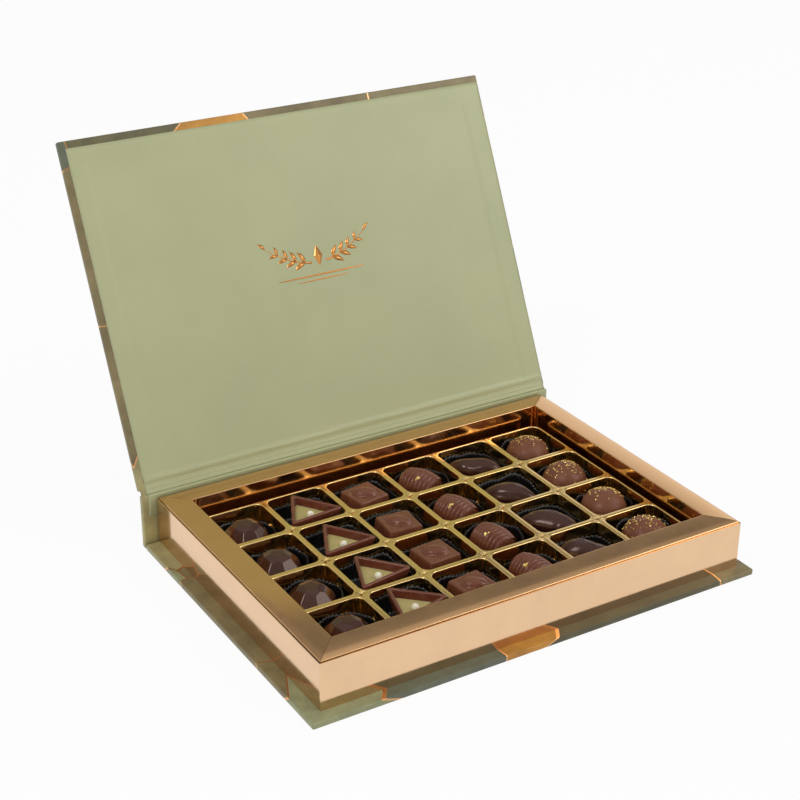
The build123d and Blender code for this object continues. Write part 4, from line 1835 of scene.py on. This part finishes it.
@dataclass
class CrumbedTruffle(Praline):
    """Round truffle with gold crumbs on its top."""

    radius: float = 13.8 * MM
    half_height: float = 12.0 * MM
    height: float = 18.8 * MM
    crumbs: int = 130
    crumb_size: float = 0.66 * MM
    spots: tuple = ((0.1, 0.35, 1.0), (0.05, 0.1, 1.0), (0.4, 0.45, 0.9), (-0.1, 0.2, 1.0))
    spreads: tuple[float, ...] = (0.5, 0.62, 0.55, 0.6)
    lowest_crumb: float = 0.02
    whole_sizes: tuple[float, float] = (0.35, 1.25)
    corner_sizes: tuple[float, float] = (0.7, 1.2)
    dents: tuple = ((0.022, 0.55, 71), (0.008, 0.16, 72), (0.0035, 0.07, 73))
    shrink: float = 0.02

    def master(self, row: int) -> Array:
        """An ellipsoid with slow dents and a fine uneven skin, held at z = 0.

        Args:
            row: counted from the back.

        Returns:
            A closed grid.
        """
        return self.skin(unit_ball(130, 80), row)

    def skin(self, ball: Array, row: int) -> Array:
        """Points of the truffle's skin along unit directions.

        Args:
            ball: the directions.
            row: counted from the back.

        Returns:
            The points about the foot's middle.
        """
        rough = sum(size * lattice_noise(ball + row, cell, seed) for size, cell, seed in self.dents)
        half = np.array([self.radius, self.radius, self.half_height])
        grid = ball * half * (1 - self.shrink + rough)[..., None]
        grid[..., 2] = np.maximum(grid[..., 2] + self.height - self.half_height, 0)
        return grid

    def crumb_set(self, row: int) -> tuple[Array, Array]:
        """Crumbs strewn round a spot on the top, each a dented octahedron of its own size and turn.

        Args:
            row: counted from the back.

        Returns:
            All points, and the faces between them.
        """
        random = np.random.default_rng(80 + row)
        spot = np.array(self.spots[row])
        around = random.normal(0, self.spreads[row], (self.crumbs, 3)) + spot / np.linalg.norm(spot)
        around /= np.linalg.norm(around, axis=1)[:, None]
        around = around[around[:, 2] > self.lowest_crumb]
        turn = math.radians(-self.turns[row])
        cos, sin = math.cos(turn), math.sin(turn)
        x, y, z = around.T
        around = np.stack([x * cos - y * sin, x * sin + y * cos, z], axis=1)
        seats = self.skin(around, row)
        octahedron = np.array([(1, 0, 0), (0, 1, 0), (-1, 0, 0), (0, -1, 0), (0, 0, 1), (0, 0, -1)], float)
        whole = random.uniform(*self.whole_sizes, (len(seats), 1, 3))
        sizes = self.crumb_size * whole * random.uniform(*self.corner_sizes, (len(seats), 6, 1))
        frames = np.linalg.qr(random.normal(size=(len(seats), 3, 3)))[0]
        points = np.einsum("nij,nkj->nki", frames, octahedron * sizes) + seats[:, None]
        faces = np.array([(0, 1, 4), (1, 2, 4), (2, 3, 4), (3, 0, 4), (1, 0, 5), (2, 1, 5), (3, 2, 5), (0, 3, 5)])
        every = faces[None] + 6 * np.arange(len(seats))[:, None, None]
        return points.reshape(-1, 3), every.reshape(-1, 3)

    def build(self) -> None:
        """Make the four truffles and their crumbs."""
        super().build()
        for row in range(self.tray.rows):
            points, faces = self.crumb_set(row)
            surface = Surface()
            surface.add_faces(self.set_down(points, row), faces)
            piece = surface.build(f"gold_crumbs_{row + 1}", sharp=20)
            dress(piece, LEAF)
            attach(piece, self.body(row))


@dataclass
class Studio:
    """White floor, soft lamps and the photograph's camera."""

    camera_place: tuple[float, float, float] = (-468.3 * MM, -717.7 * MM, 516.6 * MM)
    yaw: float = math.radians(31.40)
    pitch: float = math.radians(25.82)
    roll: float = math.radians(0.30)
    lens: float = PHOTO_FOCAL / PHOTO_WIDTH * SENSOR_WIDTH
    floor_side: float = 6.0
    floor_glow: float = 0.93
    floor_colour: Rgba = (0.86, 0.86, 0.86, 1.0)
    floor_drop: float = 0.05 * MM
    room_strength: float = 0.62
    room_walls: tuple[float, float, float, float] = (0.38, 0.54, 1.45, 0.34)
    room_ceiling: tuple[float, float, float, float] = (0.62, 0.9, 0.0, 0.9)
    lamp_aim: tuple[float, float, float] = (0.0, 0.0, 0.03)
    lamps: tuple = (
        ("key_lamp", (-1.1, -0.35, 1.5), 0.5, 7.0),
        ("fill_lamp", (1.3, -0.9, 1.3), 1.1, 11.0),
    )

    def camera(self) -> None:
        """The camera at the photograph's place and angle."""
        data = bpy.data.cameras.new("camera")
        data.sensor_width, data.lens = SENSOR_WIDTH, self.lens
        data.clip_start, data.clip_end = 0.01, 50.0
        camera = bpy.data.objects.new("camera", data)
        level = math.cos(self.pitch)
        forward = Vector((math.sin(self.yaw) * level, math.cos(self.yaw) * level, -math.sin(self.pitch)))
        right = Vector((math.cos(self.yaw), -math.sin(self.yaw), 0.0))
        up = right.cross(forward)
        across = right * math.cos(self.roll) + up * math.sin(self.roll)
        upward = up * math.cos(self.roll) - right * math.sin(self.roll)
        turn = Matrix((across, upward, -forward)).transposed().to_4x4()
        camera.matrix_world = Matrix.Translation(self.camera_place) @ turn
        bpy.context.scene.collection.objects.link(camera)
        bpy.context.scene.camera = camera

    def floor(self) -> None:
        """A pale floor that keeps the object's shadow and looks white elsewhere."""
        side = np.linspace(-self.floor_side / 2, self.floor_side / 2, 3)
        wide, deep = np.meshgrid(side, side)
        surface = Surface()
        surface.add_grid(np.stack([wide, deep, 0 * wide - self.floor_drop], axis=-1))
        floor = surface.build("floor", Vector((0, 0, 1)))
        material = bpy.data.materials.new("pale_floor")
        material.use_nodes = True
        graph = Graph(material.node_tree)
        lit = graph.add("BsdfDiffuse", {"Color": self.floor_colour})
        glow = graph.add("Emission", {"Color": WHITE, "Strength": 1.0})
        path = graph.add("LightPath")
        seen = graph.math("MAXIMUM", path.outputs["Is Camera Ray"], path.outputs["Is Glossy Ray"])
        share = graph.math("MULTIPLY", seen, self.floor_glow)
        mixed = graph.add("MixShader", {0: share, 1: lit.outputs[0], 2: glow.outputs[0]})
        graph.add("OutputMaterial", {"Surface": mixed.outputs[0]})
        floor.data.materials.append(material)

    def lamp(self, name: str, place: tuple[float, float, float], size: float, power: float) -> None:
        """A soft square lamp that looks at the box.

        Args:
            name: the lamp's name.
            place: where it hangs.
            size: its side.
            power: in watts.
        """
        data = bpy.data.lights.new(name, "AREA")
        data.shape, data.size, data.energy = "SQUARE", size, power
        lamp = bpy.data.objects.new(name, data)
        lamp.location = place
        lamp.rotation_euler = (Vector(self.lamp_aim) - Vector(place)).to_track_quat("-Z", "Y").to_euler()
        bpy.context.scene.collection.objects.link(lamp)

    def world(self) -> None:
        """White to the camera; for the object a room with pale walls, a dim band above them and a pale ceiling."""
        world = bpy.data.worlds.new("room")
        world.use_nodes = True
        graph = Graph(world.node_tree)
        direction = graph.add("TexCoord").outputs["Generated"]
        up = graph.add("SeparateXYZ", {0: direction}).outputs[2]
        level = graph.math("ADD", graph.span(up, *self.room_walls), graph.span(up, *self.room_ceiling))
        room = graph.add("Background", {"Color": graph.grey(level), "Strength": self.room_strength})
        white = graph.add("Background", {"Color": WHITE, "Strength": 1.0})
        seen = graph.add("LightPath").outputs["Is Camera Ray"]
        mixed = graph.add("MixShader", {0: seen, 1: room.outputs[0], 2: white.outputs[0]})
        graph.add("OutputWorld", {"Surface": mixed.outputs[0]})
        bpy.context.scene.world = world

    def build(self) -> None:
        """Set up the room, its lamps and the camera."""
        self.camera()
        self.floor()
        self.world()
        for lamp in self.lamps:
            self.lamp(*lamp)
        bpy.context.scene.view_settings.view_transform = "Standard"


def dress_kept_nodes(nodes: dict[str, bpy.types.Object]) -> None:
    """Give the CAD nodes that stay in sight or inside their own finishes.

    Args:
        nodes: the frame's nodes by name.
    """
    kept = {"box_shell": ROSE_CARD, "base_board": BOARD, "spine_board": BOARD, "lid_board": BOARD}
    for name, finish in kept.items():
        dress(nodes[name], finish)
        LOG.info("dressed %s", name)


def main() -> None:
    """Build the box piece by piece around the frame."""
    logging.basicConfig(level=logging.INFO, format="%(message)s")
    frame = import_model()
    dress_kept_nodes(frame["nodes"])
    case = Case()
    case.build()
    Lining(case).build()
    Ornament(case).build()
    Ledges().build()
    tray = Tray()
    tray.build()
    Cups(tray).build()
    kinds: list[Praline] = [
        FacetedDome(tray, 0, (12.0, -9.0, 30.0, 4.0), "faceted_dome", DARK_MILK, "dark_milk"),
        FilledTriangle(tray, 1, (4.0, 4.5, 9.0, 16.0), "triangle_praline", SHELL_MILK, "milk"),
        SquareBump(tray, 2, (9.0, -5.0, 4.0, 7.0), "square_praline", MILK, "milk"),
        RibbedBarrel(tray, 3, (22.0, 15.0, 10.0, 13.0), "ridged_barrel", BARREL_MILK, "milk"),
        LongAlmond(tray, 4, (-48.0, -48.0, -46.0, -38.0), "long_almond", DARK, "dark"),
        CrumbedTruffle(tray, 5, (20.0, 75.0, 0.0, 140.0), "round_truffle", TRUFFLE, "milk"),
    ]
    for kind in kinds:
        kind.build()
    Studio().build()


if __name__ == "__main__":
    main()
